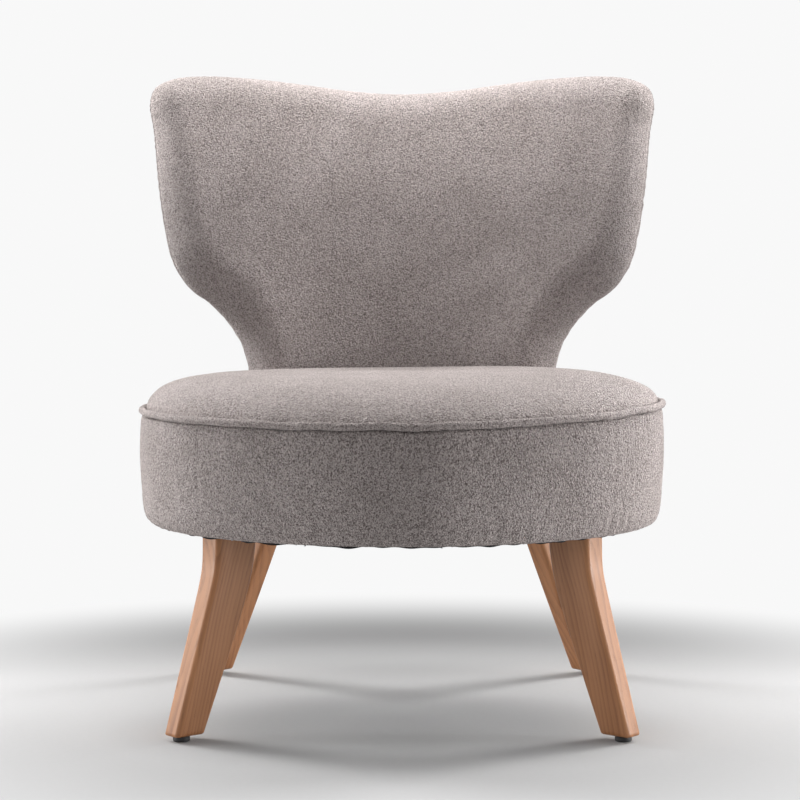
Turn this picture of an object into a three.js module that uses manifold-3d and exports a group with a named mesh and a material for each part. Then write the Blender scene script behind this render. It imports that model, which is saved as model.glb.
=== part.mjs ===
// A slipper chair: a round upholstered drum seat, a winged back that stands in the drum, and four splayed legs.
// Millimetres, +Z up, the front towards -Y. The inner group has the drum's axis as its own Z axis.
import * as THREE from "three";
import { mergeVertices } from "three/addons/utils/BufferGeometryUtils.js";
import Module from "manifold-3d";

const wasm = await Module();
wasm.setup();

// Clearances and cutting
const gap = 0.3; // between pieces that touch
const slotGap = 0.5; // between the back's neck and the slot it stands in
const overrun = 8; // how far a cutting solid runs past what it cuts
const weld = 1e-3; // vertices closer than this are one

// Seat drum
const seatRadius = 330; // over the welt
const weltHeight = 378; // floor to the middle of the welt
const weltThickness = 9;
const weltDip = 4; // how much lower the welt runs at the front
const crownRise = 42; // middle of the seat panel over the welt
const undersideHeight = 241.5; // floor to the lower edge of the frame
const boxingBulge = 2.5; // how far the band swells between the welt and the roll
const coverThickness = 2.5;
const rollRise = 30; // height over the frame's lower edge where the band starts to turn under
const rollDrop = 8; // how far the soft roll hangs below the frame at the sides and rear
const frontRollDrop = 3; // and at the front
const rollLap = 2; // the roll ends this far inside the rails' outer face
const flangeWidth = 6;
const flangeThickness = 1.5;
const dustCoverThickness = 1;
const dustCoverInset = 5; // the dust cover ends this far inside the roll

// Seat frame
const railSetback = 25; // drum's edge to the rails' outer face
const railThickness = 26;
const railHeight = 98.5;
const blockDepth = 64;
const blockWidth = 70;
const blockHeight = 60;
const strapWidth = 50;
const strapThickness = 1.7;
const strapSetback = 14; // strap ends stop this far inside the rails' outer face

// Legs and their fixings
const footSpreadX = 258; // half the distance between the left and right glides
const footSpreadY = 221; // half the distance between the front and rear glides
const glideHeight = 7;
const glideDiameter = 20;
const glideBevel = 1.2;
const glidePinDiameter = 3;
const glidePinLength = 16;
const legTopThickness = 34;
const legFootThickness = 28;
const legFootWidth = 41;
const legFootSetback = 4; // the foot's middle stands this far inside the glide's middle
const legEdgeRadius = 6;
// boltInset is the bolt's distance from the leg's inner edge, at the leg's top
const frontLeg = { topWidth: 59.5, boltInset: 22.5, bendDrop: 40, outerEase: 14, innerEase: 46 };
const rearLeg = { topWidth: 58, boltInset: 45, bendDrop: 22, outerEase: 14, innerEase: 18 };
const boltDiameter = 8;
const boltSetback = 17; // leg bolts stand this far inside the rails' inner face
const boltHeadHeight = 5.3;
const boltHeadAcross = 13;
const boltGripInLeg = 46;
const washerDiameter = 18;
const washerThickness = 1.6;

// Back
const backTopHeight = 819; // floor to the top of the wings, along the seam
const wingHalfSpan = 345;
const neckRailGap = 39; // middle of the back at seat level to the rear rail's inner face
const neckPlanRadius = 380; // how tightly the back curves round the sitter at seat level
const wingPlanRadius = 680; // and at the top
const leanStartHeight = 360; // where the back starts to lean
const leanEase = 40;
const leanSlope = 0.2;
const neckRunout = 40; // outline drawn below the neck's foot, then trimmed away
const backFrontDepth = 36; // middle surface to the front face
const backRearDepth = 36; // middle surface to the rear face
const backCrown = 6; // extra swell of the front face away from the edges
const seamDepth = 14; // middle surface to the seam on the wing edge, rearwards
const frontEdgeRound = 38;
const rearEdgeRound = 24;
const frameFrontDepth = 1; // middle surface to the front of the wooden frame
const frameThickness = 22.4;
const frameEdgeInset = 33; // padding between the outline and the wooden frame
const frameSlack = 15; // the padding's hollow is this much wider than the frame
const framePadGap = 1.6; // between the frame, with its straps, and the padding
const backBoardWidth = 44;
const postWidth = 40;
const postSpanShare = 0.4348; // chair's middle plane to the middle of a post, as a share of the half span
const postFootRise = 10; // post foot above the rails' lower edge
const lowerRailHeight = 40;
const backStrapWidth = 50;
const backStrapLap = 16; // the straps run this far past the posts
const backStrapThickness = 1.7;
const postBoltSeatGap = 0.4; // the head stands this much further off the post's curved face
const postBoltLength = 42;
const postBoltPitch = 42; // between the two bolts of a post
const postBoltRise = 34; // lower bolt above the rails' lower edge

// Counts
const drumSteps = 48;
const footEdgeSteps = 4; // on each half of the back outline's straight lower edge
const boltSides = 12;
const glideSides = 16;

// Heights that follow
const railTop = undersideHeight + railHeight;
const lowStrapTop = railTop + gap + strapThickness;
const highStrapTop = lowStrapTop + gap + strapThickness;
const foamFoot = highStrapTop + gap;
const flangeTop = undersideHeight - gap;
const dustCoverTop = flangeTop - flangeThickness - gap;
const legTop = dustCoverTop - dustCoverThickness - gap;
const legFoot = glideHeight + gap;
const railOuterRadius = seatRadius - railSetback;
const railInnerRadius = railOuterRadius - railThickness;
const rollInnerRadius = railOuterRadius - rollLap;
const flangeInnerRadius = rollInnerRadius - flangeWidth;
const neckSetback = railInnerRadius - neckRailGap;
const postOffset = wingHalfSpan * postSpanShare;
const backStrapReach = postOffset + postWidth / 2 + backStrapLap;
const legAngle = Math.atan2(footSpreadY, footSpreadX);
const legBoltRadius = railInnerRadius - boltSetback;
const weltRadius = weltThickness / 2;
const weltPathRadius = seatRadius - weltRadius;
const crownRadius = weltPathRadius - weltRadius - gap;
const holeRadius = boltDiameter / 2 + gap;
const quarterTurn = Math.PI / 2;

// Materials
function finish(color, roughness, metalness = 0) {
  return new THREE.MeshStandardMaterial({ color, roughness, metalness });
}
const fabric = finish(0x968f8c, 0.95);
const foam = finish(0xe6dcae, 0.9);
const legWood = finish(0xb07f5a, 0.5);
const frameWood = finish(0xc9a978, 0.8);
const webbing = finish(0x4a4a4c, 0.85);
const lining = finish(0x17171a, 0.9);
const steel = finish(0xb4b6ba, 0.35, 1);
const blackPlastic = finish(0x141416, 0.55);

// Closed surfaces from rings of points, and their booleans

function signedVolume(positions, triangles) {
  const a = new THREE.Vector3();
  const b = new THREE.Vector3();
  const c = new THREE.Vector3();
  let sum = 0;
  for (let i = 0; i < triangles.length; i += 3) {
    a.fromBufferAttribute(positions, triangles[i]);
    b.fromBufferAttribute(positions, triangles[i + 1]);
    c.fromBufferAttribute(positions, triangles[i + 2]);
    sum += a.dot(b.cross(c));
  }
  return sum / 6;
}

// Joins each ring to the next. With loop the last ring joins the first; otherwise the end rings have no area.
// Each four-sided patch is split along its shorter diagonal, so that nested surfaces are split alike.
function surfaceFromRings(rings, loop = false) {
  const count = rings[0].length;
  const points = rings.flat();
  const raw = new THREE.BufferGeometry().setFromPoints(points);
  const faces = [];
  const bands = loop ? rings.length : rings.length - 1;
  for (let k = 0; k < bands; k++) {
    const here = k * count;
    const next = ((k + 1) % rings.length) * count;
    for (let i = 0; i < count; i++) {
      const j = (i + 1) % count;
      const [a, b, c, d] = [here + i, here + j, next + j, next + i];
      const first = points[a].distanceTo(points[c]);
      const second = points[b].distanceTo(points[d]);
      if (first < second + weld) faces.push(a, b, c, a, c, d);
      else faces.push(a, b, d, b, c, d);
    }
  }
  raw.setIndex(faces);
  const merged = mergeVertices(raw, weld);
  const index = Array.from(merged.index.array);
  const kept = [];
  for (let i = 0; i < index.length; i += 3) {
    const [p, q, r] = index.slice(i, i + 3);
    if (p !== q && q !== r && r !== p) kept.push(p, q, r);
  }
  if (signedVolume(merged.attributes.position, kept) < 0) kept.reverse();
  merged.setIndex(kept);
  return merged;
}

// A ring drawn together into its own middle, which closes an end as a fan
function capOf(ring) {
  const middle = ring.reduce((sum, p) => sum.add(p), new THREE.Vector3());
  middle.divideScalar(ring.length);
  return ring.map(() => middle.clone());
}

function surfaceWithCaps(rings) {
  return surfaceFromRings([capOf(rings[0]), ...rings, capOf(rings[rings.length - 1])]);
}

function toSolid(geometry) {
  const bare = new THREE.BufferGeometry();
  bare.setAttribute("position", geometry.getAttribute("position"));
  if (geometry.index) bare.setIndex(geometry.index);
  const merged = mergeVertices(bare, weld);
  return new wasm.Manifold(
    new wasm.Mesh({
      numProp: 3,
      vertProperties: merged.attributes.position.array,
      triVerts: new Uint32Array(merged.index.array),
    }),
  );
}

function toGeometry(solid) {
  const mesh = solid.getMesh();
  const geometry = new THREE.BufferGeometry();
  geometry.setAttribute("position", new THREE.BufferAttribute(mesh.vertProperties, 3));
  geometry.setIndex(new THREE.BufferAttribute(mesh.triVerts, 1));
  return geometry;
}

function cut(geometry, ...cutters) {
  let solid = toSolid(geometry);
  for (const cutter of cutters) solid = solid.subtract(toSolid(cutter));
  return toGeometry(solid);
}

function join(first, ...others) {
  let solid = toSolid(first);
  for (const other of others) solid = solid.add(toSolid(other));
  return toGeometry(solid);
}

// A full circle in the shape gets as many sides as circleSides says
function extrudeUp(shape, height, circleSides) {
  const curveSegments = circleSides / 2;
  return new THREE.ExtrudeGeometry(shape, { depth: height, bevelEnabled: false, curveSegments });
}

const group = new THREE.Group();
const chair = new THREE.Group();
group.add(chair);

function place(name, geometry, material, parent = chair) {
  const mesh = new THREE.Mesh(geometry, material);
  mesh.name = name;
  parent.add(mesh);
  return mesh;
}

// Seat drum: each ring of points is one level of the profile, and heights change towards the front

function drumAngle(i) {
  return (2 * Math.PI * i) / drumSteps;
}

// 1 at the front of the drum, falling to 0 at its sides and staying there
function frontness(angle) {
  return Math.max(0, -Math.sin(angle)) ** 2;
}

function weltLevel(angle) {
  return weltHeight - weltDip * frontness(angle);
}

// The seat panel's foot at a share of its radius: the welt's level at the edge, without its dip in the middle
function panelLevel(angle, share) {
  return THREE.MathUtils.lerp(weltHeight, weltLevel(angle), share);
}

function rollLevel(angle) {
  return undersideHeight - THREE.MathUtils.lerp(rollDrop, frontRollDrop, frontness(angle));
}

// pointAt(angle) gives [radius, height]
function drumRing(pointAt) {
  return Array.from({ length: drumSteps }, (_, i) => {
    const angle = drumAngle(i);
    const [radius, height] = pointAt(angle);
    return new THREE.Vector3(radius * Math.cos(angle), radius * Math.sin(angle), height);
  });
}

// The panel's rise at a share of its radius: steep beside the welt and nearly flat in the middle
const crownFlatness = 8;
const crownPower = 0.5;
function crownLevel(radius, rim, rise) {
  return rise * (1 - Math.min(1, radius / rim) ** crownFlatness) ** crownPower;
}

const crownShares = [0, 0.52, 0.77, 0.89, 0.96, 1];
const boxingShares = [0, 0.2, 0.6];

function seatTopCover(slot) {
  const rim = crownRadius;
  const innerRim = rim - coverThickness;
  const outer = crownShares.map((share) =>
    drumRing((angle) => [rim * share, panelLevel(angle, share) + crownLevel(rim * share, rim, crownRise)]),
  );
  const inner = crownShares.map((share) =>
    drumRing((angle) => [
      innerRim * share,
      panelLevel(angle, share) - coverThickness + crownLevel(innerRim * share, innerRim, crownRise),
    ]),
  );
  return cut(surfaceFromRings([...outer, ...inner.reverse()]), slot);
}

// The band's outer face from the welt down to the roll, moved inwards by inset
function boxingOuter(angle, share, inset) {
  const top = weltLevel(angle) - weltRadius - gap;
  const foot = undersideHeight + rollRise;
  const radius = seatRadius - weltRadius + boxingBulge * Math.sin(Math.PI * Math.min(1, share * 1.25));
  return [radius - inset, THREE.MathUtils.lerp(top, foot, share)];
}

// The soft roll below the band: a half turn from the outer face to the flange, moved inwards by inset
function rollPoint(angle, turn, inset) {
  const middle = (seatRadius - weltRadius + rollInnerRadius) / 2;
  const half = (seatRadius - weltRadius - rollInnerRadius) / 2 - inset;
  const foot = undersideHeight + rollRise;
  const depth = foot - rollLevel(angle) - inset;
  return [middle + half * Math.cos(turn), foot - depth * Math.sin(turn)];
}

const rollTurnShares = [0, 0.28, 0.6];

function seatBoxing() {
  const skin = coverThickness;
  const turns = rollTurnShares.map((share) => share * Math.PI);
  const rings = [
    ...boxingShares.map((share) => drumRing((angle) => boxingOuter(angle, share, 0))),
    ...turns.map((turn) => drumRing((angle) => rollPoint(angle, turn, 0))),
    drumRing(() => [rollInnerRadius, flangeTop - flangeThickness]),
    drumRing(() => [flangeInnerRadius, flangeTop - flangeThickness]),
    drumRing(() => [flangeInnerRadius, flangeTop]),
    drumRing(() => [rollInnerRadius + flangeThickness, flangeTop]),
    ...turns.reverse().map((turn) => drumRing((angle) => rollPoint(angle, turn, skin))),
    ...[...boxingShares].reverse().map((share) => drumRing((angle) => boxingOuter(angle, share, skin))),
  ];
  return surfaceFromRings(rings, true);
}

// The welt: a cord of round section that runs round the drum's edge
const weltSides = 7;
function seatWelt() {
  const rings = Array.from({ length: drumSteps }, (_, i) => {
    const angle = drumAngle(i);
    return Array.from({ length: weltSides }, (_, k) => {
      const turn = (2 * Math.PI * k) / weltSides;
      const radius = weltPathRadius + weltRadius * Math.cos(turn);
      const height = weltLevel(angle) + weltRadius * Math.sin(turn);
      return new THREE.Vector3(radius * Math.cos(angle), radius * Math.sin(angle), height);
    });
  });
  return surfaceFromRings(rings, true);
}

function seatFoam(slot) {
  const inset = coverThickness + gap;
  const side = (angle, share) => boxingOuter(angle, share, inset)[0];
  const rim = crownRadius - coverThickness - gap;
  const rings = [
    drumRing(() => [0, foamFoot]),
    drumRing((angle) => [side(angle, boxingShares[1]), foamFoot]),
    drumRing((angle) => [side(angle, 0), weltLevel(angle) - weltRadius - inset]),
    ...[...crownShares].reverse().map((share) =>
      drumRing((angle) => [
        rim * share,
        panelLevel(angle, share) - inset - gap + crownLevel(rim * share, rim, crownRise),
      ]),
    ),
  ];
  return cut(surfaceFromRings(rings), slot);
}

function seatSidePadding() {
  const inset = coverThickness + gap;
  const inner = (railOuterRadius + gap) / Math.cos(Math.PI / drumSteps);
  const turns = rollTurnShares.map((share) => share * Math.PI);
  const rings = [
    drumRing(() => [inner, railTop]),
    drumRing((angle) => [boxingOuter(angle, boxingShares[1], inset)[0], railTop]),
    drumRing((angle) => boxingOuter(angle, boxingShares[2], inset)),
    ...turns.slice(0, 2).map((turn) => drumRing((angle) => rollPoint(angle, turn, inset))),
    drumRing(() => [inner, undersideHeight]),
  ];
  return surfaceFromRings(rings, true);
}

function dustCover() {
  const edge = drumRing(() => [rollInnerRadius - dustCoverInset, 0]);
  const shape = new THREE.Shape(edge.map((p) => new THREE.Vector2(p.x, p.y)));
  for (const { angle } of legPlaces()) {
    const hole = new THREE.Path();
    const x = legBoltRadius * Math.cos(angle);
    const y = legBoltRadius * Math.sin(angle);
    hole.absarc(x, y, holeRadius, 0, 2 * Math.PI, true);
    shape.holes.push(hole);
  }
  return extrudeUp(shape, dustCoverThickness, boltSides).translate(0, 0, dustCoverTop - dustCoverThickness);
}

// Seat frame: four curved rails that meet over the legs, corner blocks and webbing

function legPlaces() {
  return [
    { name: "front_left", angle: Math.PI + legAngle, leg: frontLeg },
    { name: "front_right", angle: -legAngle, leg: frontLeg },
    { name: "rear_left", angle: Math.PI - legAngle, leg: rearLeg },
    { name: "rear_right", angle: legAngle, leg: rearLeg },
  ];
}

const railSides = 20; // sides on each of a rail's two arcs

function railShape(from, to, grow = 0) {
  const slack = gap / 2 / railOuterRadius;
  const shape = new THREE.Shape();
  shape.absarc(0, 0, railOuterRadius + grow, from + slack, to - slack, false);
  shape.absarc(0, 0, railInnerRadius - grow, to - slack, from + slack, true);
  return shape;
}

function rail(from, to, grow = 0) {
  const solid = extrudeUp(railShape(from, to, grow), railHeight + 2 * grow, railSides);
  return solid.translate(0, 0, undersideHeight - grow);
}

function cornerBlock() {
  const outer = railInnerRadius - gap;
  const half = Math.asin(blockWidth / 2 / outer);
  const shape = new THREE.Shape();
  shape.moveTo(railInnerRadius - blockDepth, -blockWidth / 2);
  shape.lineTo(outer * Math.cos(half), -blockWidth / 2);
  shape.absarc(0, 0, outer, -half, half, false);
  shape.lineTo(railInnerRadius - blockDepth, blockWidth / 2);
  const hole = new THREE.Path();
  hole.absarc(legBoltRadius, 0, holeRadius, 0, 2 * Math.PI, true);
  shape.holes.push(hole);
  return extrudeUp(shape, blockHeight, boltSides).translate(0, 0, undersideHeight);
}

function seatStraps() {
  const reach = railOuterRadius - strapSetback;
  const alongShares = [-0.33, 0, 0.33];
  alongShares.forEach((share, i) => {
    const offset = share * reach;
    const half = Math.sqrt(reach ** 2 - (Math.abs(offset) + strapWidth / 2) ** 2);
    const strap = new THREE.BoxGeometry(strapWidth, 2 * half, strapThickness);
    const mesh = place(`seat_strap_lengthwise_${i + 1}`, strap, webbing);
    mesh.position.set(offset, 0, lowStrapTop - strapThickness / 2);
  });
  const acrossShares = [-0.54, -0.18, 0.18, 0.5];
  acrossShares.forEach((share, i) => {
    const offset = share * reach;
    const half = Math.sqrt(reach ** 2 - (Math.abs(offset) + strapWidth / 2) ** 2);
    const strap = new THREE.BoxGeometry(2 * half, strapWidth, strapThickness);
    const mesh = place(`seat_strap_crosswise_${i + 1}`, strap, webbing);
    mesh.position.set(0, offset, highStrapTop - strapThickness / 2);
  });
}

// Legs: sawn with a short upright top and a raked, tapering foot; drawn with +X outwards from the drum's axis

// 0 above the bend, then growing one for one with the drop below it, eased over a length
function easedRamp(drop, ease) {
  return (Math.sqrt(drop ** 2 + ease ** 2) + drop) / 2;
}

const legSteps = 9;
const legCornerSteps = 2;

function legGeometry(leg) {
  const height = legTop - legFoot;
  const footMiddle = Math.hypot(footSpreadX, footSpreadY) - legFootSetback;
  const topInner = legBoltRadius - leg.boltInset;
  const edgeAt = (top, foot, ease, drop) => {
    const start = easedRamp(-leg.bendDrop, ease);
    const run = easedRamp(height - leg.bendDrop, ease) - start;
    return top + ((foot - top) * (easedRamp(drop - leg.bendDrop, ease) - start)) / run;
  };
  const rings = [];
  for (let k = 0; k <= legSteps; k++) {
    const drop = (height * k) / legSteps;
    const inner = edgeAt(topInner, footMiddle - legFootWidth / 2, leg.innerEase, drop);
    const outer = edgeAt(topInner + leg.topWidth, footMiddle + legFootWidth / 2, leg.outerEase, drop);
    const thickness = THREE.MathUtils.lerp(legTopThickness, legFootThickness, k / legSteps);
    rings.push(roundedSection(inner, outer, thickness, legTop - drop));
  }
  return surfaceWithCaps(rings);
}

function roundedSection(inner, outer, thickness, height) {
  const middle = (inner + outer) / 2;
  const halfWidth = (outer - inner) / 2 - legEdgeRadius;
  const halfThickness = thickness / 2 - legEdgeRadius;
  const ring = [];
  for (let corner = 0; corner < 4; corner++) {
    const start = corner * quarterTurn;
    const sideX = corner === 0 || corner === 3 ? 1 : -1;
    const sideY = corner < 2 ? 1 : -1;
    for (let k = 0; k <= legCornerSteps; k++) {
      const turn = start + (k * quarterTurn) / legCornerSteps;
      const x = middle + sideX * halfWidth + legEdgeRadius * Math.cos(turn);
      const y = sideY * halfThickness + legEdgeRadius * Math.sin(turn);
      ring.push(new THREE.Vector3(x, y, height));
    }
  }
  return ring;
}

function upright(radius, height, sides, foot, offset) {
  const geometry = new THREE.CylinderGeometry(radius, radius, height, sides);
  return geometry.rotateX(quarterTurn).translate(offset, 0, foot + height / 2);
}

function glideGeometry() {
  const radius = glideDiameter / 2;
  const pin = glidePinDiameter / 2;
  const profile = [
    new THREE.Vector2(0, 0),
    new THREE.Vector2(radius - glideBevel, 0),
    new THREE.Vector2(radius, glideBevel),
    new THREE.Vector2(radius, glideHeight),
    new THREE.Vector2(pin, glideHeight),
    new THREE.Vector2(pin, glideHeight + glidePinLength),
    new THREE.Vector2(0, glideHeight + glidePinLength),
  ];
  return new THREE.LatheGeometry(profile, glideSides).rotateX(quarterTurn);
}

function washerGeometry() {
  const shape = new THREE.Shape();
  shape.absarc(0, 0, washerDiameter / 2, 0, 2 * Math.PI);
  const hole = new THREE.Path();
  hole.absarc(0, 0, holeRadius, 0, 2 * Math.PI, true);
  shape.holes.push(hole);
  return extrudeUp(shape, washerThickness, boltSides);
}

// A hexagon-headed bolt with its head's underside at z 0 and its shank pointing down
function boltGeometry(length) {
  const headRadius = boltHeadAcross / 2 / Math.cos(Math.PI / 6);
  const head = upright(headRadius, boltHeadHeight, 6, 0, 0);
  const shank = upright(boltDiameter / 2, length + boltHeadHeight / 2, boltSides, -length, 0);
  return join(head, shank);
}

function legSets() {
  const blockTop = undersideHeight + blockHeight;
  const washerFoot = blockTop + gap;
  const headFoot = washerFoot + washerThickness + gap;
  const shankFoot = legTop - boltGripInLeg;
  const footRadius = Math.hypot(footSpreadX, footSpreadY);
  for (const { name, angle, leg } of legPlaces()) {
    const set = new THREE.Group();
    set.rotation.z = angle;
    chair.add(set);
    const boltHole = upright(holeRadius, boltGripInLeg + gap + overrun, boltSides, shankFoot - gap, legBoltRadius);
    const pinHole = upright(
      glidePinDiameter / 2 + gap,
      glidePinLength + gap + overrun,
      glideSides,
      glideHeight - overrun,
      footRadius,
    );
    place(`${name}_leg`, cut(legGeometry(leg), boltHole, pinHole), legWood, set);
    place(`${name}_glide`, glideGeometry(), blackPlastic, set).position.x = footRadius;
    place(`${name}_corner_block`, cornerBlock(), frameWood, set);
    const washer = place(`${name}_leg_washer`, washerGeometry(), steel, set);
    washer.position.set(legBoltRadius, 0, washerFoot);
    const bolt = place(`${name}_leg_bolt`, boltGeometry(headFoot - shankFoot), steel, set);
    bolt.position.set(legBoltRadius, 0, headFoot);
  }
}

// Back: everything is drawn on a middle surface that curves round the sitter and leans back.
// A place on it is x across, z up, and a depth square to it, rearwards.

function neckFoot() {
  return foamFoot;
}

function planRadius(z) {
  const share = THREE.MathUtils.smoothstep(z, leanStartHeight, backTopHeight);
  return THREE.MathUtils.lerp(neckPlanRadius, wingPlanRadius, share);
}

function backPoint(x, z, depth) {
  const radius = planRadius(z);
  const chord = Math.sqrt(radius ** 2 - x ** 2);
  const lean = leanSlope * easedRamp(z - leanStartHeight, leanEase);
  const slope = (leanSlope * (1 + (z - leanStartHeight) / Math.hypot(z - leanStartHeight, leanEase))) / 2;
  const normal = new THREE.Vector3(x / chord, 1, -slope).normalize();
  return new THREE.Vector3(x, neckSetback + lean - (radius - chord), z).addScaledVector(normal, depth);
}

// Half the outline, from the middle of the top round the wing to the neck:
// shares of the wing's half span, and of the height from the neck's foot to the top
const backOutlineShares = [
  [0, 0.955],
  [0.2, 0.963],
  [0.4, 0.981],
  [0.6, 0.997],
  [0.78, 1.002],
  [0.9, 0.994],
  [0.963, 0.969],
  [0.98, 0.925],
  [0.963, 0.843],
  [0.937, 0.683],
  [0.904, 0.551],
  [0.868, 0.461],
  [0.804, 0.39],
  [0.728, 0.346],
  [0.658, 0.289],
  [0.612, 0.233],
  [0.586, 0.171],
  [0.576, 0.089],
  [0.576, 0],
];

function halfOutlineCurve() {
  const rise = backTopHeight - neckFoot();
  const points = backOutlineShares.map(
    ([across, up]) => new THREE.Vector3(across * wingHalfSpan, neckFoot() + up * rise, 0),
  );
  const neck = points[points.length - 1];
  points.push(new THREE.Vector3(neck.x, neck.y - neckRunout, 0));
  return new THREE.CatmullRomCurve3(points, false, "centripetal");
}

// The whole outline as { x, z, across, up }, where across and up point inwards, square to the edge
function outlineRing() {
  const curve = halfOutlineCurve();
  const half = [];
  const steps = curve.points.length - 1;
  for (let i = 0; i <= steps; i++) {
    const p = curve.getPoint(i / steps);
    half.push([p.x, p.y]);
  }
  const [footX, footZ] = half[half.length - 1];
  for (let i = 1; i <= footEdgeSteps; i++) half.push([footX * (1 - i / footEdgeSteps), footZ]);
  const left = half.slice(1, -1).reverse().map(([x, z]) => [-x, z]);
  return [...half, ...left];
}

// A place between the outline and the spine, the upright line that the rings close on
const spineReachShare = 0.8;
const leastSquareShare = 0.45;

function insetPlace([x, z], index, ring, inset, share) {
  const count = ring.length;
  const [ax, az] = ring[(index + count - 1) % count];
  const [bx, bz] = ring[(index + 1) % count];
  const tangent = new THREE.Vector2(bx - ax, bz - az).normalize();
  const middle = (backTopHeight + neckFoot()) / 2;
  const inward = new THREE.Vector2(-x, (middle - z) * spineReachShare);
  const length = inward.length();
  inward.divideScalar(length);
  const square = Math.abs(inward.x * tangent.y - inward.y * tangent.x);
  const along = Math.min(length, inset / Math.max(square, leastSquareShare));
  const run = along + (length - along) * share;
  return [x + inward.x * run, z + inward.y * run];
}

function backRing(outline, inset, share, depth) {
  return outline.map((p, i) => {
    const [x, z] = insetPlace(p, i, outline, inset, share);
    return backPoint(x, z, depth);
  });
}

// The swell of the front face at a share of the way from its rounded edge to the spine
function crownAt(share) {
  return backCrown * (1 - (1 - share) ** 2);
}

const edgeTurnShares = [0, 0.3, 0.65, 1];
const facesShares = [0.2, 0.4, 0.62, 0.82, 1];

// Rings from the seam over the rounded front edge to the spine; offset moves the face in towards the middle
function frontFace(outline, offset, start) {
  const round = frontEdgeRound - offset;
  const reach = backFrontDepth - backCrown + seamDepth - offset;
  const rings = edgeTurnShares.map((share) => {
    const turn = share * quarterTurn;
    const inset = offset + round * (1 - Math.cos(turn));
    return backRing(outline, inset, 0, share === 0 ? start : seamDepth - reach * Math.sin(turn));
  });
  facesShares.forEach((share) => {
    rings.push(backRing(outline, frontEdgeRound, share, seamDepth - reach - crownAt(share)));
  });
  return rings;
}

function rearFace(outline, offset, start) {
  const round = rearEdgeRound - offset;
  const reach = backRearDepth - seamDepth - offset;
  const rings = edgeTurnShares.map((share) => {
    const turn = share * quarterTurn;
    const inset = offset + round * (1 - Math.cos(turn));
    return backRing(outline, inset, 0, share === 0 ? start : seamDepth + reach * Math.sin(turn));
  });
  facesShares.forEach((share) => rings.push(backRing(outline, rearEdgeRound, share, seamDepth + reach)));
  return rings;
}

// The back's whole outer form grown by an amount: it cuts the slot in the seat
function backEnvelope(grow) {
  const outline = outlineRing();
  const front = frontFace(outline, -grow, seamDepth).reverse();
  return surfaceFromRings([...front, ...rearFace(outline, -grow, seamDepth).slice(1)]);
}

// The neck is open below: everything under its foot is trimmed away
function trimFoot(geometry) {
  const size = 2 * wingHalfSpan + overrun;
  const box = new THREE.BoxGeometry(size, size, neckRunout + overrun * 2);
  box.translate(0, neckSetback, neckFoot() - neckRunout / 2 - overrun);
  return cut(geometry, box);
}

const outline = outlineRing();
const frontSeam = seamDepth - gap / 2;
const rearSeam = seamDepth + gap / 2;
const padInset = coverThickness + gap;
const pocketInset = frameEdgeInset - frameSlack;

function backFrontCover() {
  const outer = frontFace(outline, 0, frontSeam).reverse();
  return trimFoot(surfaceFromRings([...outer, ...frontFace(outline, coverThickness, frontSeam)]));
}

function backRearCover() {
  const outer = rearFace(outline, 0, rearSeam).reverse();
  return trimFoot(surfaceFromRings([...outer, ...rearFace(outline, coverThickness, rearSeam)]));
}

// Front foam: a pad whose rim wraps the edges of the wooden frame
function backFrontFoam() {
  const floor = frameFrontDepth - gap - backStrapThickness - framePadGap;
  const rings = [
    ...frontFace(outline, padInset, frontSeam).reverse(),
    backRing(outline, pocketInset, 0, frontSeam),
    backRing(outline, pocketInset, 0, floor),
    ...facesShares.map((share) => backRing(outline, pocketInset, share, floor)),
  ];
  return trimFoot(surfaceFromRings(rings));
}

function backRearPadding() {
  const floor = frameFrontDepth + frameThickness + framePadGap;
  const rings = [
    ...rearFace(outline, padInset, rearSeam).reverse(),
    backRing(outline, pocketInset, 0, rearSeam),
    backRing(outline, pocketInset, 0, floor),
    ...facesShares.map((share) => backRing(outline, pocketInset, share, floor)),
  ];
  return trimFoot(surfaceFromRings(rings));
}

// A board or strap laid along a path of [x, z] places on the middle surface
function backBoard(path, width, front, thickness, grow = 0, growDepth = 0) {
  const rings = path.map(([x, z], i) => {
    const [ax, az] = path[Math.max(0, i - 1)];
    const [bx, bz] = path[Math.min(path.length - 1, i + 1)];
    const across = new THREE.Vector2(bz - az, ax - bx).normalize();
    const half = width / 2 + grow;
    const near = front - growDepth;
    const far = front + thickness + growDepth;
    const edge = (side, depth) => backPoint(x + side * across.x * half, z + side * across.y * half, depth);
    return [edge(1, near), edge(1, far), edge(0, far), edge(-1, far), edge(-1, near), edge(0, near)];
  });
  return surfaceWithCaps(rings);
}

function straightPath([ax, az], [bx, bz], steps) {
  return Array.from({ length: steps + 1 }, (_, i) => {
    const share = i / steps;
    return [THREE.MathUtils.lerp(ax, bx, share), THREE.MathUtils.lerp(az, bz, share)];
  });
}

// Places along the half outline, moved inwards, between two shares of its length
function insetPath(fromShare, toShare, steps, inset) {
  const curve = halfOutlineCurve();
  const step = 1 / curve.points.length;
  return Array.from({ length: steps + 1 }, (_, i) => {
    const share = THREE.MathUtils.lerp(fromShare, toShare, i / steps);
    const near = [share - step / 4, share, share + step / 4].map((s) => {
      const p = curve.getPointAt(THREE.MathUtils.clamp(s, 0, 1));
      return [p.x, p.y];
    });
    return insetPlace(near[1], 1, near, inset, 0);
  });
}

const postSteps = 10;
const wingFromShare = 0.3;
const wingToShare = 0.83;
const boardInset = frameEdgeInset + backBoardWidth / 2;

function postPath(side) {
  const foot = undersideHeight + postFootRise;
  const head = neckFoot() + backOutlineShares[2][1] * (backTopHeight - neckFoot()) - frameEdgeInset * 2;
  return straightPath([side * postOffset, foot], [side * postOffset, head], postSteps);
}

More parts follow.
